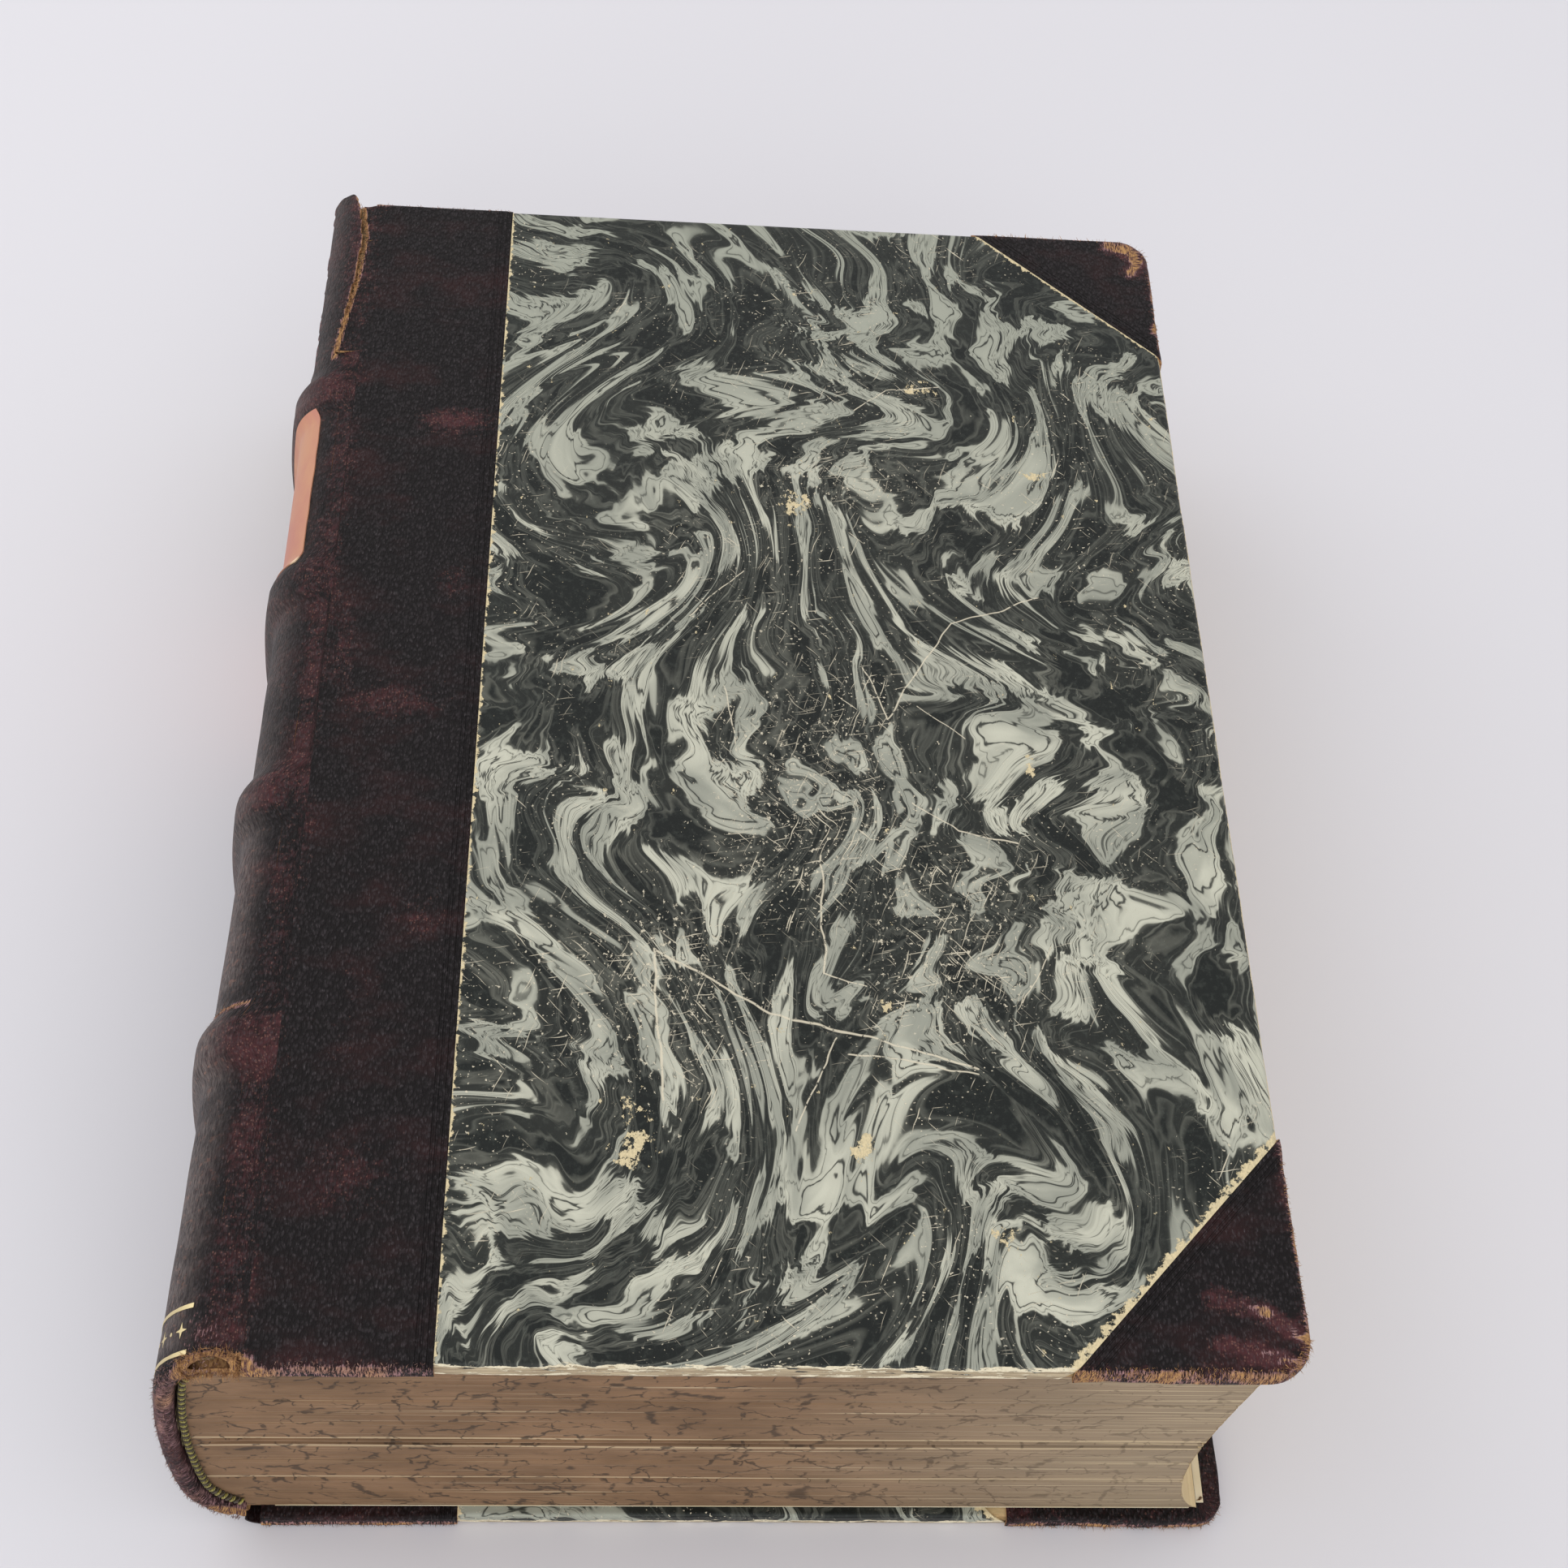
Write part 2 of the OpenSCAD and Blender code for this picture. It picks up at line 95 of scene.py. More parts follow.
# The spine's section at the tail, as the frame has it: two shoulders and the back between them
JOINT_GAP = 0.3
SHOULDER_DROP = 0.4
SPINE_BULGE = 14.9
SPINE_TAPER = 3.4
SPINE_R = 134.0
FRONT_SHOULDER_R = 10.0
BACK_SHOULDER_R = 16.0
APEX_Z = TOP_Z / 2 + 1
FRONT_ARC_Z = TOP_Z - SHOULDER_DROP - FRONT_SHOULDER_R
BACK_ARC_Z = SHOULDER_DROP + BACK_SHOULDER_R
MAIN_X = FRONT_X - SPINE_BULGE + SPINE_R
FRONT_ARC_X = MAIN_X - math.sqrt((SPINE_R - FRONT_SHOULDER_R) ** 2 - (FRONT_ARC_Z - APEX_Z) ** 2)
BACK_ARC_X = MAIN_X - math.sqrt((SPINE_R - BACK_SHOULDER_R) ** 2 - (BACK_ARC_Z - APEX_Z) ** 2)
FRONT_TANGENT = math.pi - math.asin((FRONT_ARC_Z - APEX_Z) / (SPINE_R - FRONT_SHOULDER_R))
BACK_TANGENT = math.pi + math.asin((APEX_Z - BACK_ARC_Z) / (SPINE_R - BACK_SHOULDER_R))
SPINE_LOW_X = BACK_JOINT_X - JOINT_GAP

# Thicknesses of the coverings, and how far their folded edges are dented
SIDE_LEATHER_T = 0.45
FRONT_JOINT_T = 0.4
BACK_JOINT_T = 0.35
LABEL_T = 0.25
PAPER_T = 0.22
CLOTH_T = 0.35
GOLD_LINE_T = 0.06
GOLD_STAR_T = 0.05
SIDE_ROUGH = 0.2
CORNER_ROUGH = 0.3
PAPER_ROUGH = 0.12
# How far the coverings are turned in on the boards' inner faces, and the step of their grids there
TURN_IN = 4.3
EDGE_STEP = 0.34
# Side of the two covers' sheets in their pattern, which keeps them apart
PATTERN_SIDE = 40.0
# A mark for leather with no tooled edge near it
NO_EDGE = 30.0
# Places of the block's faces in the pattern of its edges, and the length of its head and tail there
FORE_EDGE_START, HEAD_START, END_LENGTH = 300.0, 700.0, 150.0

# Layers of the spine, as depths below the outer face of its leather
LEATHER_T = 0.8
LINER_T = 0.9
LINING_DEPTH = 2.65
BLOCK_DEPTH = 3.5
HEADCAP_R = 1.5

# Sizes of the raised bands
BAND_RISE = 2.0
BAND_W = 15.0
BAND_CREST_W = 5.0


def linear(hex_colour):
    """An sRGB hex colour as linear RGBA."""
    parts = [int(hex_colour[i:i + 2], 16) / 255 for i in (1, 3, 5)]
    return tuple(c / 12.92 if c <= 0.04045 else ((c + 0.055) / 1.055) ** 2.4 for c in parts) + (1.0,)


def colour_property(name, description, hex_colour):
    return FloatVectorProperty(name=name, description=description, subtype="COLOR", size=4,
                               min=0, max=1, default=linear(hex_colour))


class BookSizes(bpy.types.PropertyGroup):
    arris_r: FloatProperty(
        name="Arris radius", description="Rounding of the covers' worn edges, in millimetres",
        default=1.1, min=0.4, max=1.6)
    corner_r: FloatProperty(
        name="Corner radius", description="Rounding of the covers' worn corners, in millimetres",
        default=6.0, min=3, max=10)
    spine_sink: FloatProperty(
        name="Spine sink", description="How far the hollow back has sunk at mid height, in millimetres",
        default=1.2, min=0, max=1.6)
    leaf_t: FloatProperty(
        name="Leaf step", description="Step between the leaf edges that are modelled, in millimetres",
        default=0.36, min=0.25, max=1)
    stitch_pitch: FloatProperty(
        name="Stitch pitch", description="Distance between the headband's stitches, in millimetres",
        default=0.82, min=0.6, max=2)
    fibre_count: IntProperty(
        name="Fibres", description="Loose fibres for each millimetre of torn leather",
        default=9, min=0, max=20)


class BookColours(bpy.types.PropertyGroup):
    leather: colour_property("Leather", "Dyed goatskin where it isn't worn", "#151112")
    leather_purple: colour_property("Leather, faded", "Goatskin where the dye has faded", "#2c1819")
    leather_red: colour_property("Leather, rubbed", "Goatskin rubbed down to its red ground", "#4c292c")
    leather_flesh: colour_property("Leather, torn", "Undyed fibres inside the goatskin", "#c79a66")
    label: colour_property("Label", "Thin leather of the title label", "#c58d6c")
    paper_dark: colour_property("Paper, dark", "Darkest ink of the marbled paper", "#191d1b")
    paper_light: colour_property("Paper, light", "Light ink of the marbled paper", "#cbcbb9")
    paper_worn: colour_property("Paper, worn", "Bare paper under the inks", "#e0cfa6")
    edges: colour_property("Page edges", "Browned cut edges of the leaves", "#88694c")
    veins: colour_property("Edge veins", "Veins of the marbled page edges", "#3c2d1f")
    board: colour_property("Board", "Pasted board where it is bare", "#b99a6b")
    gold: colour_property("Gold", "Gold leaf on the spine", "#dccb9c")
    floor: colour_property("Floor", "Pale floor and backdrop", "#e2e1e6")


class StageSettings(bpy.types.PropertyGroup):
    world_strength: FloatProperty(
        name="World light", description="Strength of the even light all round", default=0.92, min=0)
    key_power: FloatProperty(
        name="Key light", description="Power of the large lamp at the left", default=3.5, min=0,
        subtype="POWER")
    fill_power: FloatProperty(
        name="Front light", description="Power of the lamp at the tail", default=4.5, min=0,
        subtype="POWER")


# Materials


# Outputs of the node that reads a mesh's own values
VECTOR, AMOUNT = 1, 2
# Settings that a kind of node has wherever this script adds it
USUAL = {
    "MapRange": {"interpolation_type": "SMOOTHSTEP"},
    "Mix": {"data_type": "RGBA"},
    "TexNoise": {"Scale": 1.0},
    "TexVoronoi": {"Scale": 1.0},
}


def add(tree, kind, *values, out=0, size=None, stops=(), **settings):
    """Adds a node, and gives one of its outputs. Kind may end in an operation. The values go to its
    inputs in order, and settings with a capital to the inputs of that name. A colour may be hex. Size
    is the length of the pattern in millimetres, the same for all three axes or one for each."""
    kind, _, operation = kind.partition(" ")
    node = tree.nodes.new("ShaderNode" + kind)
    if operation:
        node.operation = operation
    settings = {**USUAL.get(kind, {}), **settings}
    for name in [name for name in settings if name[0].islower()]:
        setattr(node, name, settings.pop(name))
    if size is not None:
        shares = tuple(1 / s for s in (size if hasattr(size, "__len__") else (size, size, size)))
        values = (add(tree, "VectorMath MULTIPLY", values[0], shares), *values[1:])
    used = [socket for socket in node.inputs if socket.enabled]
    named = [(node.inputs[name.replace("_", " ")], value) for name, value in settings.items()]
    for socket, value in [*zip(used, values), *named]:
        if isinstance(value, bpy.types.NodeSocket):
            tree.links.new(value, socket)
        else:
            socket.default_value = linear(value) if isinstance(value, str) else value
    for i, (place, level) in enumerate(stops):
        ramp = node.color_ramp.elements
        stop = ramp[i] if i < 2 else ramp.new(place)
        stop.position = place
        stop.color = (level, level, level, 1)
    results = [socket for socket in node.outputs if socket.enabled]
    return results[out] if results else None


def new_material(name):
    """A material, and the function that adds nodes to it."""
    material = bpy.data.materials.new(name)
    material.use_nodes = True
    material.node_tree.nodes.clear()
    return material, functools.partial(add, material.node_tree)


def surface(node, colour, roughness, height=None, depth=0.1, **settings):
    """The shader and the output, with a bump whose full height is depth in millimetres."""
    if height is not None:
        settings["Normal"] = node("Bump", Height=height, Distance=depth * MM, Strength=1.0)
    shader = node("BsdfPrincipled", Base_Color=colour, Roughness=roughness, **settings)
    node("OutputMaterial", Surface=shader)


def body_place(node):
    """Places in the object, in millimetres."""
    return node("VectorMath MULTIPLY", node("TexCoord", out=3), (1 / MM,) * 3)


def wander(node, value, *patterns):
    """A value moved up and down by patterns. Each comes with how far it moves the value in all."""
    for pattern, reach in patterns:
        value = node("Math ADD", value, node("Math MULTIPLY_ADD", pattern, reach, -reach / 2))
    return value


# Blind lines pressed into the leather, by how far they lie from its tooled edge
GROOVES = (0.9, 1.9, 2.6)


def goat_leather(colours):
    """Vegetable-tanned goatskin, boarded to a pebbled grain and dyed nearly black. The grain gives
    it short glints, and more glints are painted into its colour as light grey pebble tops and
    strokes. Where it is rubbed, the tops of the pebbles are red brown, and where it is worn
    through, its undyed fibres show tan."""
    material, node = new_material("Morocco goatskin, dyed and pebbled")
    place = node("Attribute", attribute_name="sheet", out=VECTOR)
    wear, rub, edge, fade_and_sheen = (node("Attribute", attribute_name=name, out=AMOUNT)
                             for name in ("wear", "rub", "edge", "faded"))
    warp = node("TexNoise", place, size=2.4, Detail=1, out=1)
    bent = node("VectorMath ADD", place, warp)
    pebble = node("TexVoronoi", bent, size=(0.48, 0.95, 0.48), Smoothness=0.35, feature="SMOOTH_F1")
    top_size = (0.36, 0.5, 0.36)
    cell = node("TexVoronoi", bent, size=top_size)
    pick = node("SeparateColor", node("TexVoronoi", bent, size=top_size, out=1))
    far_side = node("MapRange", node("SeparateXYZ", place), 76.0, 78.0)
    fibres = node("Mix", far_side,
                  node("TexNoise", place, size=(0.22, 1.3, 0.6), Detail=3, Roughness=0.6),
                  node("TexNoise", place, size=(1.3, 0.22, 0.6), Detail=3, Roughness=0.6),
                  data_type="FLOAT")
    hairs = node("TexNoise", place, size=(0.2, 1.0, 0.5), Detail=2, Roughness=0.55)
    patches = node("TexNoise", place, size=(17.0, 11.0, 17.0), Detail=4, Roughness=0.6)
    flecks = node("TexNoise", place, size=(1.6, 1.2, 1.6), Detail=3, Roughness=0.7)
    base = node("Mix", node("MapRange", patches, 0.45, 0.7), colours.leather, colours.leather_purple)
    rubbed = wander(node, rub, (patches, 1.1), (flecks, 1.1), (fibres, 0.7))
    red = node("MapRange", rubbed, 0.3, 0.95)
    base = node("Mix", red, base, colours.leather_red)
    # Painted highlight: the tops of the pebbles are painted a lighter grey for their sheen, so the
    # cracks between them stay dark.
    grain = node("Math MULTIPLY", node("MapRange", pebble, 0.6, 0.25),
                 node("MapRange", flecks, 0.35, 0.6))
    base = node("Mix", node("Math MULTIPLY", grain, 0.24), base, "#524c4f")
    # Painted highlight: short light grey strokes where hairs and pebbles meet, painted in as glints.
    glint = node("Math MULTIPLY", node("MapRange", hairs, 0.56, 0.7),
                 node("MapRange", pebble, 0.62, 0.3))
    base = node("Mix", node("Math MULTIPLY", glint, 0.36), base, "#6b6467")
    top = node("MapRange", cell, 0.5, 0.2)
    chosen = node("MapRange", node("Math MULTIPLY_ADD", rubbed, 0.62, pick), 0.98, 1.1)
    speck = node("Math MULTIPLY", node("Math MULTIPLY", top, chosen),
                 node("MapRange", rubbed, 0.15, 0.6))
    base = node("Mix", node("Math MULTIPLY", speck, 0.42), base, "#8f675b")
    # Partly painted reflection: where the leather is marked faded, it is painted a dull grey nap with
    # pale flecks. This is its weathered surface and also the sheen on the spine's round.
    nap = node("TexNoise", place, size=(0.3, 2.2, 0.6), Detail=3, Roughness=0.7)
    dull = node("Mix", node("MapRange", nap, 0.4, 0.62), "#453d3d", "#7b706c")
    dull = node("Mix", node("Math MULTIPLY", node("MapRange", flecks, 0.56, 0.66), 0.6), dull,
                "#9a786a")
    faded = node("Math MULTIPLY", fade_and_sheen, node("MapRange", patches, 0.2, 0.55))
    base = node("Mix", faded, base, dull)
    torn = wander(node, wear, (flecks, 0.7), (fibres, 1.5))
    pinkish = node("Mix", node("MapRange", wear, 0.5, 0.8), "#a07c7e", colours.leather_flesh)
    flesh = node("Mix", node("MapRange", fibres, 0.38, 0.6), "#5a3d42", pinkish)
    bare = node("MapRange", torn, 0.46, 0.62)
    colour = node("Mix", bare, base, flesh)
    height = node("Math MULTIPLY_ADD", pebble, -0.9, 0.9)
    height = node("Math MULTIPLY_ADD", hairs, 0.8, height)
    height = node("Math MULTIPLY_ADD", node("Math MULTIPLY", fibres, bare), 1.6, height)
    for groove in GROOVES:
        line = node("Math ABSOLUTE", node("Math SUBTRACT", edge, groove))
        height = node("Math MULTIPLY_ADD", node("MapRange", line, 0.22, 0.06), -1.6, height)
    roughness = node("Math MULTIPLY_ADD", bare, 0.42, 0.36)
    roughness = node("Math MULTIPLY_ADD", flecks, 0.2, roughness)
    surface(node, colour, roughness, height, depth=0.28, Specular_IOR_Level=0.13)
    return material


def leather_flesh(colours):
    """The undyed inside of the goatskin, which shows at torn edges: soft, matt and fibrous."""
    material, node = new_material("Goatskin, torn and fibrous")
    place = body_place(node)
    fibres = node("TexNoise", place, size=(0.3, 1.2, 0.5), Detail=4, Roughness=0.7)
    stained = node("Attribute", attribute_name="stained", out=AMOUNT)
    light = node("Mix", stained, colours.leather_flesh, "#a98a86")
    dark = node("Mix", stained, "#7a5238", "#4a3038")
    colour = node("Mix", node("MapRange", fibres, 0.35, 0.65), dark, light)
    surface(node, colour, 0.85, fibres, depth=0.25)
    return material


def label_leather(colours):
    """Thin split calf, pasted on and faded from red to orange and pink: smooth, with a dull shine."""
    material, node = new_material("Split calf, smooth and faded")
    place = node("Attribute", attribute_name="sheet", out=VECTOR)
    wear = node("Attribute", attribute_name="wear", out=AMOUNT)
    clouds = node("TexNoise", place, size=(9, 24, 9), Detail=4, Roughness=0.6)
    pores = node("TexNoise", place, size=0.5, Detail=2)
    colour = node("Mix", node("MapRange", clouds, 0.35, 0.65), colours.label, "#bb7b69")
    flaked = node("MapRange", wander(node, wear, (clouds, 0.6)), 0.62, 0.8)
    colour = node("Mix", flaked, colour, "#e9c9a4")
    surface(node, colour, 0.5, pores, depth=0.03, IOR=1.5)
    return material


# Swirls of the marbling: each one's centre on the sheet, its reach and its turn
SWIRLS = (
    ((-27, 46), 27, -1.5),
    ((36, 52), 25, 1.2),
    ((-36, 112), 30, -1.5),
    ((72, 84), 22, 0.9),
    ((68, 20), 19, -1.0),
    ((-34, -102), 31, 1.9),
    ((14, -92), 20, -1.1),
    ((44, -108), 19, 1.0),
    ((2, -20), 17, -0.9),
    ((20, -66), 30, -0.45),
)


# Drops of ink on the bath: each one's centre on the sheet and its half widths
LIGHT_DROPS = (
    ((-11, 50), (14, 8)), ((-24, 17), (6, 7)), ((-18, 1), (13, 5)), ((-8, -18), (4, 12)),
    ((17, -9), (6, 5)), ((21, -18), (5, 5)), ((4, -18), (6, 3)), ((14, -29), (6, 4)),
    ((-24, -24), (6, 14)), ((19, 64), (5, 9)), ((38, 53), (11, 6)), ((-6, 72), (7, 7)),
    ((39, -16), (4, 14)), ((52, -52), (5, 17)), ((72, -30), (4, 16)), ((70, 70), (12, 6)),
    ((42, -111), (9, 6)), ((3, -72), (8, 9)), ((-36, 60), (12, 4)), ((-42, -40), (5, 20)),
    ((-28, -98), (15, 5)), ((20, -84), (5, 14)), ((-38, 103), (8, 5)), ((48, 98), (4, 16)),
    ((16, 106), (4, 14)), ((30, 104), (3, 16)), ((68, -78), (6, 12)), ((10, -98), (12, 4)),
)
DARK_DROPS = (
    ((56, 106), (9, 12)), ((-14, 88), (13, 7)), ((-39, 30), (8, 16)), ((4, 25), (20, 5)),
    ((-38, -4), (8, 10)), ((2, -46), (12, 8)), ((60, 8), (10, 9)), ((32, -58), (6, 10)),
    ((66, -8), (9, 12)), ((-12, -82), (12, 8)), ((24, -118), (14, 6)), ((-44, -112), (6, 8)),
    ((6, 6), (9, 10)), ((60, 40), (14, 5)), ((-2, 100), (8, 9)), ((72, -100), (8, 8)),
)


# Patches of the marbled paper that are rubbed to the bare sheet: the middle and the half widths
SCUFFS = (
    ((7, 48), (4, 7)), ((-21, -87), (4, 8)), ((14, -89), (4, 4)), ((46, -13), (1.6, 4)),
    ((30, 79), (4, 3)), ((52, 57), (5, 2)), ((36, -103), (3, 3)), ((20, -62), (3, 2)),
)
# Where the polish is rubbed and chipped: the middle and the half widths
RUBBED = (((8, -20), (26, 34)), ((30, -48), (22, 24)), ((-18, -60), (18, 30)), ((14, 52), (24, 9)))
# Long scratches: start, end and half width
SCRATCHES = (
    ((10.6, -32), (10, -55), 0.16), ((10, -55), (17.5, -57.5), 0.14), ((-17.4, -51), (-15, -79.5), 0.2),
    ((-17.4, -51), (1.7, -63), 0.2), ((1.7, -63), (34, -72), 0.18), ((14, -70), (34, -73), 0.15),
    ((12, -67), (5, -84), 0.13), ((19.5, 73.5), (26, 79), 0.12), ((26, 79), (36, 81), 0.12),
    ((22.5, -2), (35, 20), 0.14), ((35, 20), (52, 27), 0.14), ((22.5, -2), (18.5, 10), 0.12),
    ((26, -20), (34, -26), 0.13), ((34, -26), (44, -28), 0.15), ((-5.7, 4), (-3.7, -10.5), 0.12),
    ((28, 1), (36, -6), 0.1), ((-12, 20), (-2, 31), 0.1), ((42, -60), (48, -49), 0.1),
)


def scratches_at(node, place):
    """1 along the long scratches."""
    total = 0.0
    for start, end, half_w in SCRATCHES:
        way = Vector((end[0] - start[0], end[1] - start[1], 0.0))
        away = node("VectorMath SUBTRACT", place, (*start, 0.0))
        share = node("VectorMath DOT_PRODUCT", away, way / way.length_squared)
        root = node("VectorMath SCALE", way, Scale=node("Clamp", share))
        far = node("VectorMath DISTANCE", away, root)
        total = node("Math MAXIMUM", total, node("MapRange", far, 1.4 * half_w, 0.5 * half_w))
    return total


def drops_at(node, place, drops):
    """1 inside the drops and 0 outside, with a soft rim."""
    total = 0.0
    for centre, reach in drops:
        away = node("VectorMath SUBTRACT", place, (*centre, 0.0))
        far = node("VectorMath LENGTH", away, size=(*reach, 10000.0))
        total = node("Math MAXIMUM", total, node("MapRange", far, 1.35, 0.35))
    return total


def marbled_paper(colours):
    """Hand-marbled paper: dark and grey-green inks drawn into swirls on the bath, then laid on
    paper and polished. It has a low shine, pale scratches, and bare cream paper where it is worn."""
    material, node = new_material("Marbled paper, polished")
    sheet = node("Attribute", attribute_name="sheet", out=VECTOR)
    wear = node("Attribute", attribute_name="wear", out=AMOUNT)
    flat = node("VectorMath MULTIPLY", sheet, (1.0, 1.0, 0.0))
    place = flat
    for centre, reach, turn in SWIRLS:
        middle = (*centre, 0.0)
        far = node("VectorMath DISTANCE", place, middle)
        fall = node("Math POWER", node("Math DIVIDE", far, reach), 2.0)
        angle = node("Math MULTIPLY", node("Math EXPONENT", node("Math MULTIPLY", fall, -1.0)), turn)
        place = node("VectorRotate", place, Center=middle, Angle=angle, rotation_type="Z_AXIS")
    side = node("VectorMath MULTIPLY", sheet, (0.0, 0.0, 1.0))
    place = node("VectorMath ADD", place, side)
    near = flat
    for size, reach in ((36.0, 34.0), (12.0, 12.0), (4.4, 3.0), (1.6, 0.5)):
        push = node("VectorMath SUBTRACT", node("TexNoise", place, size=size, Detail=1, out=1),
                    (0.5, 0.5, 0.5))
        push = node("VectorMath MULTIPLY", push, (reach, reach, 0.0))
        place = node("VectorMath ADD", place, push)
        near = node("VectorMath ADD", near, push)
    pool = node("TexNoise", place, size=(5.6, 14.0, 10.0), Detail=2.6, Roughness=0.42)
    streaks = node("TexNoise", place, size=(0.8, 22.0, 4.0), Detail=3, Roughness=0.6)
    drawn = node("MapRange", node("TexNoise", place, size=(20.0, 34.0, 10.0), Detail=1), 0.42, 0.6)
    pull = node("Math MULTIPLY", node("Math SUBTRACT", streaks, 0.5),
                node("Math MULTIPLY_ADD", drawn, 0.3, 0.03))
    level = node("Math ADD", node("Math MULTIPLY_ADD", pool, 0.85, 0.068), pull)
    level = node("Math MULTIPLY_ADD", drops_at(node, near, LIGHT_DROPS), 0.12, level)
    level = node("Math MULTIPLY_ADD", drops_at(node, near, DARK_DROPS), -0.09, level)
    # Each ink pools between two levels, and dries darker or paler at its rim
    ink = node("ValToRGB", level,
               stops=[(0.0, 0.0), (0.39, 0.0), (0.43, 0.16), (0.448, 0.02), (0.5, 0.03), (0.52, 0.14),
                      (0.53, 0.78), (0.55, 1.0), (0.562, 0.85), (0.568, 0.15), (0.574, 0.9), (0.6, 1.0),
                      (0.618, 0.85), (0.626, 0.06), (0.636, 0.1), (0.645, 0.9), (0.7, 1.0)])
    smoke = node("Math MULTIPLY", node("MapRange", streaks, 0.5, 0.7),
                 node("MapRange", level, 0.38, 0.52))
    ink = node("Math MAXIMUM", ink, node("Math MULTIPLY", smoke, 0.34))
    shade = node("TexNoise", place, size=(6.0, 14.0, 6.0), Detail=3)
    pale = node("Mix", node("MapRange", shade, 0.35, 0.7), "#9c9e91", colours.paper_light)
    # Painted shade: the pale ink is painted darker towards the head of the cover, where the light is
    # dimmer.
    low = node("MapRange", node("SeparateXYZ", sheet, out=1), 115.0, 20.0)
    pale = node("Mix", low, "#a3a698", pale)
    grain = node("TexNoise", sheet, size=(0.25, 0.5, 0.3), Detail=2)
    mottle = node("TexNoise", sheet, size=(1.3, 1.6, 1.0), Detail=5, Roughness=0.7)
    deep = node("Mix", node("MapRange", mottle, 0.48, 0.68), colours.paper_dark, "#2f332f")
    colour = node("Mix", ink, deep, pale)
    shift = node("VectorMath MULTIPLY", node("TexNoise", sheet, size=9.0, Detail=2, out=1),
                 (2.4, 2.4, 0.0))
    shifted = node("VectorMath ADD", flat, shift)
    bare = scratches_at(node, shifted)
    broken = node("TexNoise", sheet, size=(1.1, 1.1, 1.0), Detail=3, Roughness=0.7)
    bare = node("Math MULTIPLY", bare, node("MapRange", broken, 0.36, 0.44))
    dots = node("TexNoise", sheet, size=0.55, Detail=1)
    dusty = node("MapRange", node("TexNoise", sheet, size=(24.0, 30.0, 9.0), Detail=3), 0.42, 0.62)
    bare = node("Math MAXIMUM", bare, node("Math MULTIPLY", node("MapRange", dots, 0.68, 0.74), dusty))
    rubbed = drops_at(node, flat, RUBBED)
    chips = node("TexNoise", sheet, size=(0.9, 1.3, 1.0), Detail=3, Roughness=0.75)
    chips = node("MapRange", node("Math MULTIPLY_ADD", rubbed, 0.1, chips), 0.7, 0.73)
    bare = node("Math MAXIMUM", bare, chips)
    for turn, size in ((0.35, (0.3, 9.0, 1.0)), (-0.75, (0.28, 7.0, 1.0)), (1.35, (0.26, 6.0, 1.0))):
        turned = node("VectorRotate", shifted, Angle=turn, rotation_type="Z_AXIS")
        line = node("Math MULTIPLY_ADD", rubbed, 0.055, node("TexNoise", turned, size=size, Detail=0))
        line = node("MapRange", line, 0.785, 0.82)
        bare = node("Math MAXIMUM", bare, node("Math MULTIPLY", line, dusty))
    scuff = node("TexNoise", sheet, size=(3.2, 4.4, 5.0), Detail=5, Roughness=0.75)
    scuff = node("Math MULTIPLY_ADD", drops_at(node, flat, SCUFFS), 0.16, scuff)
    scuff = node("MapRange", scuff, 0.66, 0.69)
    rim = node("TexNoise", sheet, size=(1.3, 1.3, 1.3), Detail=4, Roughness=0.65)
    rim = node("MapRange", wander(node, wear, (rim, 1.4)), 0.5, 0.62)
    worn = node("Mix", node("MapRange", grain, 0.35, 0.65), colours.paper_worn, "#cbbd98")
    rim = node("Math MAXIMUM", rim, scuff)
    colour = node("Mix", rim, colour, worn)
    colour = node("Mix", node("Math MULTIPLY", bare, 0.85), colour, "#dcd3bb")
    torn = node("Attribute", attribute_name="torn", out=AMOUNT)
    tears = node("TexNoise", sheet, size=(4.5, 1.0, 1.0), Detail=5, Roughness=0.65)
    reach = node("Math MULTIPLY_ADD", tears, 3.2, node("Math SUBTRACT", torn, 1.6))
    flakes = node("TexNoise", sheet, size=(6.0, 1.3, 1.0), Detail=5, Roughness=0.6)
    flakes = node("Math MULTIPLY_ADD", node("MapRange", torn, 2.9, 4.2), 0.14, flakes)
    fringe = node("Math MULTIPLY", node("MapRange", reach, 0.85, 0.95),
                  node("MapRange", flakes, 0.37, 0.38))
    board = node("Math MULTIPLY", node("MapRange", reach, 1.3, 1.4),
                 node("MapRange", flakes, 0.575, 0.56))
    board = node("Math MULTIPLY", board, fringe)
    ply = node("TexNoise", sheet, size=(9.0, 0.3, 1.0), Detail=3, Roughness=0.6)
    colour = node("Mix", fringe, colour, node("Mix", grain, "#cfc3a4", "#efe6cc"))
    colour = node("Mix", board, colour,
                  node("Mix", node("MapRange", ply, 0.4, 0.62), "#94836b", "#c0b091"))
    rim = node("Math MAXIMUM", rim, fringe)
    height = node("Math MULTIPLY_ADD", node("Math MAXIMUM", bare, rim), -1.0, grain)
    height = node("Math MULTIPLY_ADD", board, -2.0, height)
    roughness = node("Math MULTIPLY_ADD", rim, 0.3, 0.38)
    surface(node, colour, roughness, height, depth=0.04, Specular_IOR_Level=0.22)
    return material


# Heights of the leaves that stand a little proud of the others and are paler
PAGE_LINES = (30.4, 27.4, 15.4)


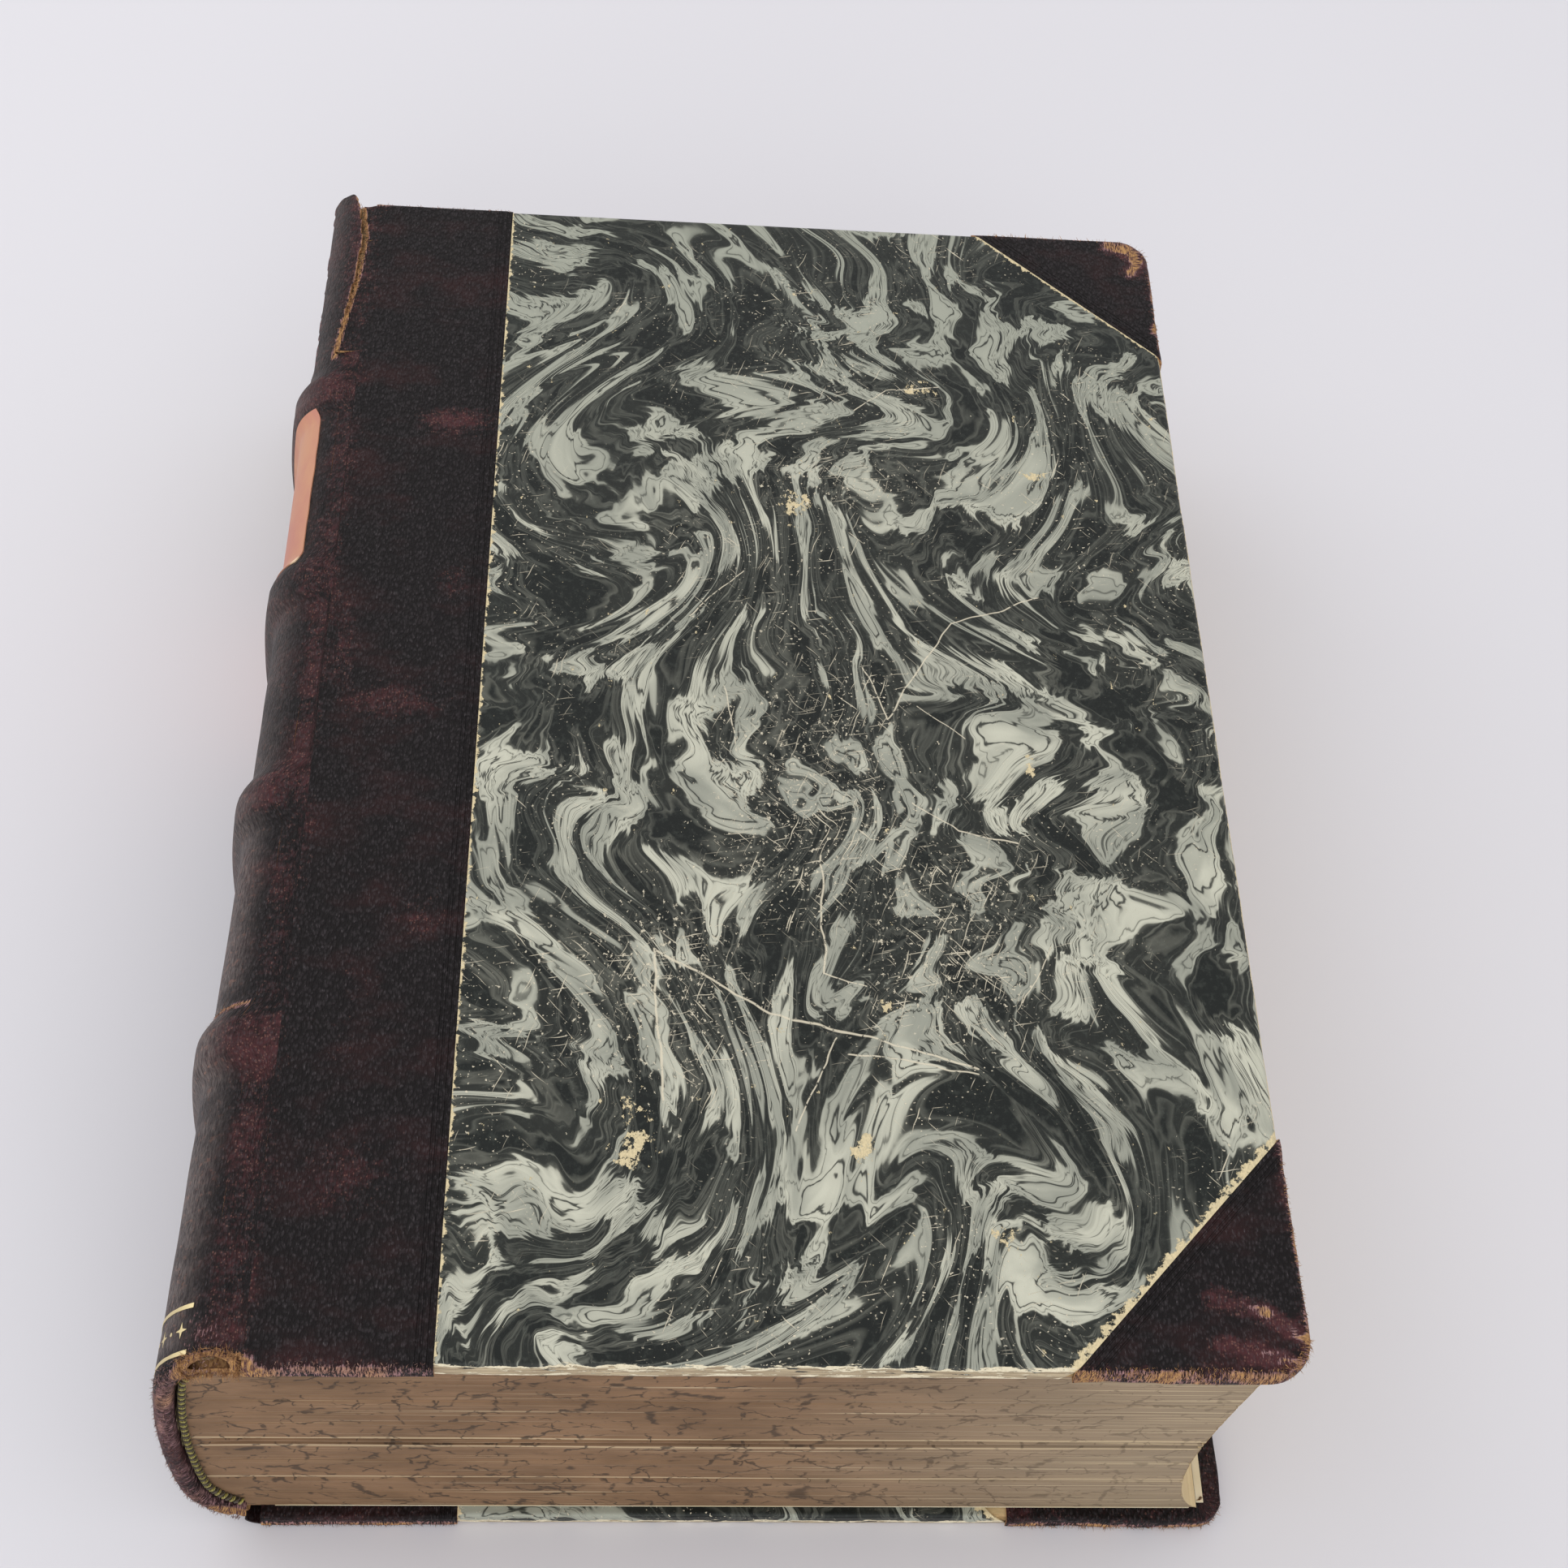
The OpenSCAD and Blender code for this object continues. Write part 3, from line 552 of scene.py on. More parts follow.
def cut_edges(colours):
    """The cut edges of rag paper, vein-marbled and browned with age: fine leaf lines, matt."""
    material, node = new_material("Rag paper, cut and browned")
    place = node("Attribute", attribute_name="sheet", out=VECTOR)
    # The wear mark is 1 on the fore-edge, whose lit face is painted pale below.
    fore = node("Attribute", attribute_name="wear", out=AMOUNT)
    leaves = node("TexNoise", place, size=(70.0, 0.22, 1.0), Detail=2, Roughness=0.7)
    folds = node("TexNoise", place, size=(120.0, 0.6, 1.0), Detail=3, Roughness=0.75)
    stains = node("TexNoise", place, size=(22.0, 9.0, 5.0), Detail=4, Roughness=0.6)
    vein = 0.0
    for size, wind, width in (((9.5, 6.0, 9.0), 3.4, 0.02), ((4.6, 3.4, 5.0), 2.2, 0.022)):
        push = node("VectorMath MULTIPLY", node("TexNoise", place, size=wind, Detail=4, out=1),
                    (1.5 * wind, 1.2 * wind, 0.0))
        bent = node("VectorMath ADD", place, push)
        near = node("TexVoronoi", bent, size=size, feature="DISTANCE_TO_EDGE")
        broken = node("TexNoise", place, size=size, Detail=3, Roughness=0.65)
        line = node("Math MULTIPLY", node("MapRange", near, 2.2 * width, 0.6 * width),
                    node("MapRange", broken, 0.5, 0.56))
        vein = node("Math MAXIMUM", vein, line)
    vein = node("Math MULTIPLY", vein, node("MapRange", leaves, 0.2, 0.45))
    across = node("SeparateXYZ", place)
    outer = node("MapRange", node("Math MODULO", across, HEAD_START), 70.0, END_LENGTH)
    colour = node("Mix", node("MapRange", stains, 0.3, 0.7), colours.edges, "#6d5238")
    colour = node("Mix", node("Math MULTIPLY", outer, 0.75), colour, "#998a72")
    bright = node("Math MULTIPLY_ADD", outer, 0.07, folds)
    colour = node("Mix", node("MapRange", bright, 0.6, 0.72), colour, "#bfac8c")
    colour = node("Mix", node("MapRange", folds, 0.4, 0.3), colour, "#65503a")
    level = node("Math ADD", node("SeparateXYZ", place, out=1),
                 node("Math MULTIPLY", node("TexNoise", place, size=(60.0, 60.0, 1.0)), 2.0))
    for height in PAGE_LINES:
        away = node("Math ABSOLUTE", node("Math SUBTRACT", level, height + 1))
        line = node("MapRange", away, 0.32, 0.12)
        colour = node("Mix", node("Math MULTIPLY", line, 0.7), colour, "#cdb792")
    colour = node("Mix", node("MapRange", leaves, 0.45, 0.2), colour, "#66503b")
    colour = node("Mix", node("MapRange", leaves, 0.62, 0.8), colour, "#c2b08e")
    vein = node("Math MULTIPLY", vein, node("Math MULTIPLY_ADD", outer, -0.5, 0.85))
    colour = node("Mix", vein, colour, colours.veins)
    # Painted light: the fore-edge is painted a pale cream, as the lit face of the block.
    colour = node("Mix", node("Math MULTIPLY", fore, 0.75), colour,
                  node("Mix", leaves, "#cdb083", "#f0dcae"))
    surface(node, colour, 0.8, leaves, depth=0.12)
    return material


def wove_paper():
    """Plain endpaper: even, matt and yellowed, with brown spots of age."""
    material, node = new_material("Wove paper, yellowed")
    place = body_place(node)
    fibre = node("TexNoise", place, size=0.6, Detail=4, Roughness=0.7)
    stains = node("TexNoise", place, size=38.0, Detail=4, Roughness=0.6)
    spots = node("TexNoise", place, size=3.0, Detail=2)
    colour = node("Mix", node("MapRange", stains, 0.35, 0.7), "#e4dac0", "#d2c19b")
    colour = node("Mix", node("Math MULTIPLY", node("MapRange", spots, 0.7, 0.8), 0.5), colour,
                  "#a67f50")
    surface(node, colour, 0.8, fibre, depth=0.03)
    return material


def pasteboard(colours):
    """Board pasted up from rope and rag paper: tan, fibrous, with the lines of its layers."""
    material, node = new_material("Pasteboard, bare and tan")
    place = body_place(node)
    layers = node("TexNoise", place, size=(30.0, 30.0, 0.35), Detail=2, Roughness=0.6)
    fibre = node("TexNoise", place, size=(0.8, 0.8, 0.4), Detail=4, Roughness=0.7)
    colour = node("Mix", node("MapRange", fibre, 0.3, 0.7), "#94764c", colours.board)
    colour = node("Mix", node("MapRange", layers, 0.5, 0.75), colour, "#d3bb8c")
    surface(node, colour, 0.85, node("Math ADD", layers, fibre), depth=0.15)
    return material


def liner_card():
    """Brown card of the hollow back: dull, with a torn and fibrous edge."""
    material, node = new_material("Brown card, torn")
    place = body_place(node)
    fibre = node("TexNoise", place, size=(0.8, 1.6, 0.8), Detail=4, Roughness=0.7)
    stains = node("TexNoise", place, size=12.0, Detail=4)
    colour = node("Mix", node("MapRange", stains, 0.35, 0.65), "#86704f", "#6b563b")
    colour = node("Mix", node("MapRange", fibre, 0.55, 0.8), colour, "#a68f69")
    surface(node, colour, 0.85, fibre, depth=0.12)
    return material


def mull_cloth():
    """Open cotton mull glued to the folds of the leaves: its threads stand out of brown glue."""
    material, node = new_material("Cotton mull, glued")
    place = body_place(node)
    thread_pitch = 0.9
    weave = None
    for axis in ("X", "Y", "Z"):
        part = node("TexWave", place, size=thread_pitch * 2 * math.pi, Scale=math.pi, Distortion=1.5,
                    Detail=2.0, Detail_Scale=1.5, bands_direction=axis, out=1)
        weave = part if weave is None else node("Math MAXIMUM", weave, part)
    glue = node("TexNoise", place, size=(7.0, 16.0, 9.0), Detail=5, Roughness=0.65)
    folds = node("TexNoise", place, size=(6.0, 60.0, 1.8), Detail=2)
    colour = node("Mix", node("MapRange", weave, 0.5, 0.9), "#8f7750", "#c9ba93")
    colour = node("Mix", node("MapRange", glue, 0.5, 0.64), colour, "#7a5d38")
    colour = node("Mix", node("MapRange", glue, 0.4, 0.3), colour, "#d9ccaa")
    colour = node("Mix", node("MapRange", folds, 0.56, 0.7), colour, "#5f4a30")
    surface(node, colour, 0.75, node("Math ADD", weave, folds), depth=0.2)
    return material


def linen_tape():
    """Flat linen tape: a close plain weave."""
    material, node = new_material("Linen tape, woven")
    place = body_place(node)
    weave = node("TexChecker", place, size=0.5, Scale=1.0, out=1)
    colour = node("Mix", weave, "#d6ccb2", "#bfb393")
    surface(node, colour, 0.8, weave, depth=0.05)
    return material


def silk_thread(name, hex_colour):
    """Floss silk of the headband's stitches: fine threads side by side, with a soft shine."""
    material, node = new_material(name)
    place = body_place(node)
    strands = node("TexNoise", place, size=(0.12, 0.5, 0.12), Detail=2)
    colour = node("Mix", node("MapRange", strands, 0.3, 0.7), hex_colour, "#2c2618")
    surface(node, colour, 0.5, strands, depth=0.05, Sheen_Weight=0.2)
    return material


def gold_leaf(colours):
    """Gold leaf pressed into leather with a heated tool: a metal, soft and broken by the grain."""
    material, node = new_material("Gold leaf, tooled")
    place = node("Attribute", attribute_name="sheet", out=VECTOR)
    rubbed = node("TexNoise", place, size=(0.5, 0.5, 0.5), Detail=3, Roughness=0.7)
    gap = node("MapRange", rubbed, 0.62, 0.7)
    colour = node("Mix", gap, colours.gold, "#5b4430")
    surface(node, colour, 0.42, rubbed, depth=0.03, Metallic=0.85)
    return material


def studio_floor(colours):
    """A smooth pale sheet of paper for the floor."""
    material, node = new_material("Seamless paper, pale")
    surface(node, colours.floor, 0.9)
    return material


# Meshes


def ripple(points, size, seed=0.0):
    """Smooth noise from about -1 to 1 at each point; size is the length of a ripple."""
    sizes = np.broadcast_to(np.asarray(size, float), (3,))
    points = np.asarray(points, float)
    if points.shape[1] == 2:
        points = np.column_stack([points, np.zeros(len(points))])
    moved = points / sizes + np.array([seed, -0.7 * seed, 0.4 * seed])
    return np.array([noise.noise(Vector(p)) for p in moved])


def rise(value, low, high):
    """0 below low and 1 above high, with a smooth rise between; low may be the higher one."""
    t = np.clip((np.asarray(value, float) - low) / (high - low), 0, 1)
    return t * t * (3 - 2 * t)


def lines(start, end, step):
    return np.linspace(start, end, max(2, int(round(abs(end - start) / step)) + 1))


def merged(*parts):
    return np.unique(np.round(np.concatenate(parts), 4))


def cells_of(grid):
    """The middles of a grid's quads, for one of its coordinates."""
    return (grid[1:, 1:] + grid[:-1, :-1]) / 2


def grid_faces(rows, columns, keep=None):
    """Quads of a grid whose points are stored row by row; keep is a mask of the quads."""
    faces = []
    for i in range(rows - 1):
        for j in range(columns - 1):
            if keep is None or keep[i, j]:
                a = i * columns + j
                faces.append((a, a + columns, a + columns + 1, a + 1))
    return faces


def make_piece(name, points, faces, materials, body=None, replaces=(), marks=None,
               smooth=True):
    """A mesh object from points in millimetres; marks are named values at each point."""
    mesh = bpy.data.meshes.new(name)
    mesh.from_pydata((np.asarray(points, float) * MM).tolist(), [], [tuple(f) for f in faces])
    mesh.validate()
    for key, values in (marks or {}).items():
        values = np.asarray(values, np.float32)
        if values.ndim == 2:
            mesh.attributes.new(key, "FLOAT_VECTOR", "POINT").data.foreach_set("vector", values.ravel())
        else:
            mesh.attributes.new(key, "FLOAT", "POINT").data.foreach_set("value", values)
    if smooth:
        mesh.shade_smooth()
    piece = bpy.data.objects.new(name, mesh)
    bpy.context.scene.collection.objects.link(piece)
    for material in materials:
        mesh.materials.append(material)
    if body:
        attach(piece, body)
    if replaces:
        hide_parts(*replaces)
    return piece


def drop_loose(piece):
    """Deletes the points that no face uses."""
    bm = bmesh.new()
    bm.from_mesh(piece.data)
    bmesh.ops.delete(bm, geom=[v for v in bm.verts if not v.link_faces], context="VERTS")
    bm.to_mesh(piece.data)
    bm.free()


RIM_ANGLE = math.radians(50)


def thicken(piece, thickness, inner=0):
    """Gives a sheet its thickness, inwards, and applies it; inner shifts the material inside."""
    drop_loose(piece)
    shell = piece.modifiers.new("thickness", "SOLIDIFY")
    shell.thickness = thickness * MM
    shell.offset = -1
    shell.material_offset = inner
    shell.material_offset_rim = inner
    apply_modifiers(piece)


def apply_modifiers(piece):
    graph = bpy.context.evaluated_depsgraph_get()
    graph.update()
    mesh = bpy.data.meshes.new_from_object(piece.evaluated_get(graph))
    mesh.set_sharp_from_angle(angle=RIM_ANGLE)
    piece.modifiers.clear()
    old = piece.data
    piece.data = mesh
    bpy.data.meshes.remove(old)


class Cover:
    """Sizes and place of a cover. Its sheets are laid out flat, then folded over its edges."""

    def __init__(self, side, sizes):
        front = side == "front"
        self.side = side
        self.x0 = FRONT_X if front else BACK_X
        self.z = TOP_Z if front else 0.0
        self.inward = -1 if front else 1
        self.side_w = FRONT_SIDE_W if front else BACK_SIDE_W
        self.x1 = self.x0 + BOARD_W
        self.paper_x = self.x0 + self.side_w
        self.body = side + "_cover"
        self.arris = sizes.arris_r
        self.low_arris = 0.45 * self.arris
        self.corner_r = sizes.corner_r - (0 if front else 2)
        both = self.arris + self.low_arris
        self.wrap = math.pi / 2 * both + COVER_T - both

    def over_edge(self, flat, inset=0.0):
        """How far past the start of the edge's rounding each flat point lies, and the way out."""
        x, y = flat[:, 0], flat[:, 1]
        radius = self.corner_r - inset
        inner_r = radius - self.arris
        centre_x, centre_y = self.x1 - inset - radius, HALF_H - inset - radius
        dx, dy = x - centre_x, np.abs(y) - centre_y
        far = np.hypot(dx, dy)
        corner = (dx > 0) & (dy > 0)
        end = dx <= 0
        past = np.where(corner, far - inner_r, np.where(end, dy - inner_r, dx - inner_r))
        safe = np.maximum(far, 1e-6)
        out_x = np.where(corner, dx / safe, np.where(end, 0.0, 1.0))
        out_y = np.where(corner, dy / safe, np.where(end, 1.0, 0.0)) * np.sign(y)
        return past, np.column_stack([out_x, out_y])

    def folded(self, flat, rough, inset=0.0):
        """Flat points bent over the edges, and how far past each edge's rounding they started.
        Rough is how far the edges are dented."""
        past, out = self.over_edge(flat, inset)
        e = np.maximum(past, 0)
        a, b = self.arris, self.low_arris
        quarter = a * math.pi / 2
        straight = COVER_T - a - b
        turn1 = np.clip(e / a, 0, math.pi / 2)
        down = np.clip(e - quarter, 0, straight)
        turn2 = np.clip((e - quarter - straight) / b, 0, math.pi / 2)
        back = np.maximum(e - quarter - straight - b * math.pi / 2, 0)
        round_corner = np.all(np.abs(out) > 1e-6, axis=1)
        back = np.where(round_corner, np.minimum(back, self.corner_r - inset - a - 0.1), back)
        reach = np.where(turn2 > 0, a - b + b * np.cos(turn2), a * np.sin(turn1)) - back
        fall = a * (1 - np.cos(turn1)) + down + b * np.sin(turn2)
        root = flat - out * e[:, None]
        spread = np.column_stack([root + out * reach[:, None], np.zeros(len(flat))])
        dent = rough * (0.6 * ripple(flat, 3.0, 5) + 0.9 * ripple(flat, 11.0, 9))
        dent = (dent + 0.6 * rough - 0.08) * rise(e, 0.2, quarter) * rise(back, 2.5, 0.5)
        spread[:, :2] += out * dent[:, None]
        spread[:, 2] = self.z + self.inward * fall
        return spread, past

    def sheet(self, name, xs, ys, materials, rough, thickness, slot, marks, keep, inset=0.0, cuts=(),
              raise_by=None):
        """A covering made from flat grid lines, cut to its outline, folded and given a thickness."""
        bm = bmesh.new()
        grid = [[bm.verts.new((x, y, 0)) for x in xs] for y in ys]
        for i in range(len(ys) - 1):
            for j in range(len(xs) - 1):
                bm.faces.new((grid[i][j], grid[i][j + 1], grid[i + 1][j + 1], grid[i + 1][j]))
        for place, normal in cuts:
            bmesh.ops.bisect_plane(bm, geom=bm.verts[:] + bm.edges[:] + bm.faces[:], clear_outer=True,
                                   plane_co=(*place, 0), plane_no=(*normal, 0), dist=1e-5)
        kept = keep(np.array([f.calc_center_median()[:2] for f in bm.faces]))
        doomed = [f for f, k in zip(bm.faces, kept) if not k]
        bmesh.ops.delete(bm, geom=doomed, context="FACES")
        bm.verts.index_update()
        flat = np.array([v.co[:2] for v in bm.verts])
        faces = [[v.index for v in f.verts] for f in bm.faces]
        if self.inward > 0:
            faces = [face[::-1] for face in faces]
        bm.free()
        points, e = self.folded(flat, rough, inset)
        if raise_by is not None:
            points[:, 2] += -self.inward * raise_by(flat, e)
        spread = flat if self.inward < 0 else flat * (1, -1)
        values = {"sheet": np.column_stack([spread, np.full(len(flat), PATTERN_SIDE * self.inward)])}
        values.update({key: rule(flat, e) for key, rule in marks.items()})
        piece = make_piece(f"{self.side}_{name}_worn", points, faces, materials, self.body,
                           [f"{self.side}_{name}"], values)
        thicken(piece, thickness, len(materials) - 1)

    def edge_lines(self, low, high, step, low_edge, high_edge):
        """Grid lines from low to high, fine over the rounding at the ends that are the board's."""
        parts = []
        turn = self.wrap + TURN_IN + 0.2
        start, end = low, high
        if low_edge:
            start = low + self.arris
            parts.append(lines(start - turn, start, EDGE_STEP))
        if high_edge:
            end = high - self.arris
            parts.append(lines(end, end + turn, EDGE_STEP))
        parts.append(lines(start, end, step))
        return merged(*parts)

    def corner_cut(self, end):
        """A point on a leather corner's diagonal and the normal that points to the corner."""
        leg = HEAD_LEG if end > 0 else TAIL_LEG
        slant = np.array([leg, end * CORNER_LEG])
        return np.array([self.x1 - CORNER_LEG, end * HALF_H]), slant / np.linalg.norm(slant)

    def from_corner(self, flat, end):
        place, normal = self.corner_cut(end)
        return (flat - place) @ normal


# Middle and half sizes of the hole at the tail of the front joint, from the board's edge and the tail
HOLE_X, HOLE_T = -4.2, 0.0
HOLE_W, HOLE_H = 3.6, 1.5


def hole_distance(x, t):
    """How far a place is from the middle of the hole, which is 1 at its rim."""
    return np.hypot((x - HOLE_X) / HOLE_W, (t - HOLE_T) / HOLE_H)


def hole_wear(x, t):
    return 0.95 * rise(hole_distance(x, t), 2.3, 1.3)


# The split at the head of the front joint starts here, from the tail
SPLIT_START = 207.5


def ragged_at(x, t):
    """How torn edges wander, from about -1 to 1."""
    cells = np.column_stack([x.ravel(), t.ravel()])
    return (0.5 * ripple(cells, 1.5, 1) + 0.5 * ripple(cells, 4.0, 6)).reshape(x.shape)


def split_x(t):
    """X of the split in the front joint, from the board's spine edge, at t from the tail."""
    return np.interp(t, (207, 217, 228, 240, 249, 254), (-4.9, -3.7, -2.4, -1.7, -2.9, -4.2))


def split_half(t):
    """Half the width of the split, which closes downwards."""
    return 0.06 + 0.42 * rise(t, 208, 240)


def shoulder_drop(x):
    """How far the leather lies lower at the front joint."""
    return -SHOULDER_DROP * rise(x, FRONT_X, FRONT_X - 1.6)


def taper_at(y, sink):
    t = (np.asarray(y, float) - TAIL_Y) / BOARD_H
    return SPINE_TAPER * t + sink * np.sin(math.pi * np.clip(t, 0, 1))


def band_lift(y):
    """Rise of the leather over the raised bands at y."""
    y = np.asarray(y, float)
    best = np.zeros_like(y)
    for middle in BAND_YS:
        best = np.maximum(best, rise(np.abs(y - middle), BAND_W / 2, BAND_CREST_W / 2 - 0.6))
    return BAND_RISE * best


def spine_point(u, y, depth=0.0, sink=0.0, lift=0.0):
    """Points round the spine: u is 0 at the front board, 1 to 2 on the front shoulder, 2 to 3 on the
    back and 3 to 4 on the back shoulder."""
    u, y = np.broadcast_arrays(np.asarray(u, float), np.asarray(y, float))
    shift = taper_at(y, sink) - lift
    r0, r1, r2 = FRONT_SHOULDER_R - depth, SPINE_R - depth, BACK_SHOULDER_R - depth
    flat, front, back, low = (np.clip(u - k, 0, 1) for k in range(4))
    a0 = np.arccos(np.clip((FRONT_X - FRONT_ARC_X - shift) / r0, -1, 0))
    angle = a0 + (FRONT_TANGENT - a0) * front
    x = FRONT_ARC_X + shift + r0 * np.cos(angle)
    z = FRONT_ARC_Z + r0 * np.sin(angle)
    on_flat = u < 1
    reach = np.maximum(FRONT_X - FRONT_ARC_X - shift, 0)
    x = np.where(on_flat, FRONT_X - reach * flat, x)
    angle = FRONT_TANGENT + (BACK_TANGENT - FRONT_TANGENT) * back
    x = np.where(u > 2, MAIN_X + shift + r1 * np.cos(angle), x)
    z = np.where(u > 2, APEX_Z + r1 * np.sin(angle), z)
    last = 2 * math.pi - np.arccos(np.clip((SPINE_LOW_X - BACK_ARC_X - shift) / r2, -1, 0))
    angle = BACK_TANGENT + (last - BACK_TANGENT) * low
    x = np.where(u > 3, BACK_ARC_X + shift + r2 * np.cos(angle), x)
    z = np.where(u > 3, BACK_ARC_Z + r2 * np.sin(angle), z)
    if depth == 0:
        z = z + SHOULDER_DROP * rise(x, FRONT_X - 1.6, FRONT_X)
    return np.stack([x, y, z], axis=-1)


# Girth of each stretch of u along the spine's section, to lay the leather out flat
GIRTHS = (3.5, 14.2, 36.7, 16.7)


def girth_at(u):
    return sum(g * np.clip(np.asarray(u, float) - k, 0, 1) for k, g in enumerate(GIRTHS))


def laid_out(u, y):
    """Places on the spine's leather as it was before it was folded round."""
    return np.stack([-girth_at(u) + FRONT_X, y, np.zeros_like(u)], axis=-1).reshape(-1, 3)


def raised(u, y, height, sink, lift=0.0):
    """Points on the spine that stand out from its leather."""
    point = spine_point(u, y, sink=sink, lift=lift)
    inner = spine_point(u, y, depth=1.0, sink=sink, lift=lift)
    return point + (point - inner) * height


def spine_columns(step, start=0.0, end=4.0):
    parts = []
    for k, g in enumerate(GIRTHS):
        low, high = max(start, k), min(end, k + 1)
        if high > low:
            parts.append(lines(low, high, step / g))
    return merged(*parts)


class BookOperator:
    """What the operators share: access to the sizes, colours and materials."""

    bl_options = {"REGISTER", "UNDO"}
    finishes = {}

    def covers(self, context):
        return [Cover(side, context.scene.book_sizes) for side in ("front", "back")]

    def finish(self, key, make):
        if key not in BookOperator.finishes:
            BookOperator.finishes[key] = make()
        return BookOperator.finishes[key]

    def leathers(self, colours):
        """The leather's outside, and its inside for torn edges."""
        return [self.finish("leather", lambda: goat_leather(colours)),
                self.finish("flesh", lambda: leather_flesh(colours))]


def paint(nodes, material):
    """Puts a material on CAD nodes, which keep their own meshes."""
    for name in nodes:
        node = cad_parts[name]
        node.data.materials.clear()
        node.data.materials.append(material)


def pressed(gap):
    """How far leather is pressed down at a cut edge, at a gap from it."""
    return -0.12 * rise(gap, 1.2, 0.2)


# Rubbed places beside the joint: x and height from the board's edge and the tail, half widths, strength
RUBBED_LEATHER = (
    (19, 190, 8, 4, 0.9), (12, 122, 12, 5, 0.5), (3, 133, 3, 14, 0.5), (13, 30, 9, 9, 0.4),
    (21, 150, 5, 6, 0.4), (20, 80, 6, 8, 0.35), (8, 60, 6, 12, 0.25),
)


def leather_marks(cover):
    """Rules for the wear on the leather at a cover's spine side."""
    def wear(flat, e):
        t = flat[:, 1] - TAIL_Y
        along = ripple(np.column_stack([flat[:, 0], np.zeros(len(flat))]), 5.0, 3.0)
        end = 6.0 if cover.side == "front" else 3.0
        worn = rise(e, 0.2, 1.6) * (0.62 + 0.35 * along) * rise(e, end + 1, end - 1)
        if cover.side == "back":
            return np.maximum(worn, 0.56 * rise(e, 0.2, 1.0) * rise(e, 3.6, 2.4))
        worn += 0.55 * rise(e, -1.6, 0.6) * rise(flat[:, 0], cover.x0 + 7, cover.x0)
        x = flat[:, 0] - cover.x0
        split = rise(np.abs(x - split_x(t)), 1.6, 0.3) * (t > 205)
        head = rise(np.hypot(x / 6, (t - BOARD_H) / 1.6), 1.2, 0.3)
        nap = 0.62 * rise(e, 0.0, 1.0) * rise(e, 4.5, 2.5) * rise(np.abs(x - 14), 12, 6)
        return np.maximum.reduce([worn * 0.8, 0.95 * split, 0.8 * head, hole_wear(x, t), nap])

    def rub(flat, e):
        x = flat[:, 0] - cover.x0
        t = flat[:, 1] - TAIL_Y
        joint = rise(x, 4.5, -1.0) * (0.46 if cover.side == "front" else 0.15)
        for px, py, rx, ry, strength in RUBBED_LEATHER:
            joint = np.maximum(joint, strength * np.exp(-((x - px) / rx) ** 2 - ((t - py) / ry) ** 2))
        return joint + 0.25 * rise(e, -2.5, 0.5)

    def edge(flat, e):
        return cover.paper_x - flat[:, 0]

    return {"wear": wear, "rub": rub, "edge": edge}


class BOOK_OT_stage(BookOperator, bpy.types.Operator):
    """Sets the camera, the floor, the lamps and the even light"""

    bl_idname = "book.stage"
    bl_label = "Camera, floor and light"

    # The camera, as found from the photo: place in mm, angles in degrees, offsets in its pixels
    camera_place = (-26.5, -283.6, 407.8)
    pitch, yaw, roll = 52.31, -9.13, 8.96
    focal_px = 3183.6
    frame_px = 1932
    centre_px = (93.0, 2.8)
    sensor = 36.0

    def execute(self, context):
        settings = context.scene.book_stage
        colours = context.scene.book_colours
        self.place_camera(context)
        scene = context.scene
        scene.view_settings.view_transform = "Standard"
        bpy.ops.mesh.primitive_plane_add(size=12, location=(0, 0, 0))
        floor = context.active_object
        floor.name = "floor"
        floor.data.materials.append(studio_floor(colours))
        world = bpy.data.worlds.new("even light")
        world.use_nodes = True
        scene.world = world
        back = world.node_tree.nodes["Background"]
        back.inputs["Color"].default_value = linear("#f6f5f6")
        back.inputs["Strength"].default_value = settings.world_strength
        self.lamp(context, "key lamp", (-0.9, 0.35, 0.8), (-0.02, 0, 0.03), 1.1, settings.key_power)
        self.lamp(context, "front lamp", (0.1, -1.3, 0.55), (0, 0, 0.02), 1.0, settings.fill_power)
        return {"FINISHED"}

    def place_camera(self, context):
        data = bpy.data.cameras.new("camera")
        data.sensor_width = self.sensor
        data.lens = self.focal_px / self.frame_px * self.sensor
        data.shift_x = -self.centre_px[0] / self.frame_px
        data.shift_y = self.centre_px[1] / self.frame_px
        data.clip_start = 0.01
        camera = bpy.data.objects.new("camera", data)
        pitch, yaw, roll = (math.radians(a) for a in (self.pitch, self.yaw, self.roll))
        ahead = Vector((0, math.cos(pitch), -math.sin(pitch)))
        up = Vector((0, math.sin(pitch), math.cos(pitch)))
        right = Vector((1, 0, 0))
        turn = Matrix.Rotation(yaw, 3, "Z")
        ahead, up, right = turn @ ahead, turn @ up, turn @ right
        right, up = (math.cos(roll) * right + math.sin(roll) * up,
                     -math.sin(roll) * right + math.cos(roll) * up)
        pose = Matrix((right, up, -ahead)).transposed().to_4x4()
        pose.translation = Vector(self.camera_place) * MM
        camera.matrix_world = pose
        context.scene.collection.objects.link(camera)
        context.scene.camera = camera

    def lamp(self, context, name, place, target, size, power):
        data = bpy.data.lights.new(name, "AREA")
        data.shape = "SQUARE"
        data.size = size
        data.energy = power
        lamp = bpy.data.objects.new(name, data)
        lamp.location = place
        lamp.rotation_euler = (Vector(target) - Vector(place)).to_track_quat("-Z", "Y").to_euler()
        context.scene.collection.objects.link(lamp)


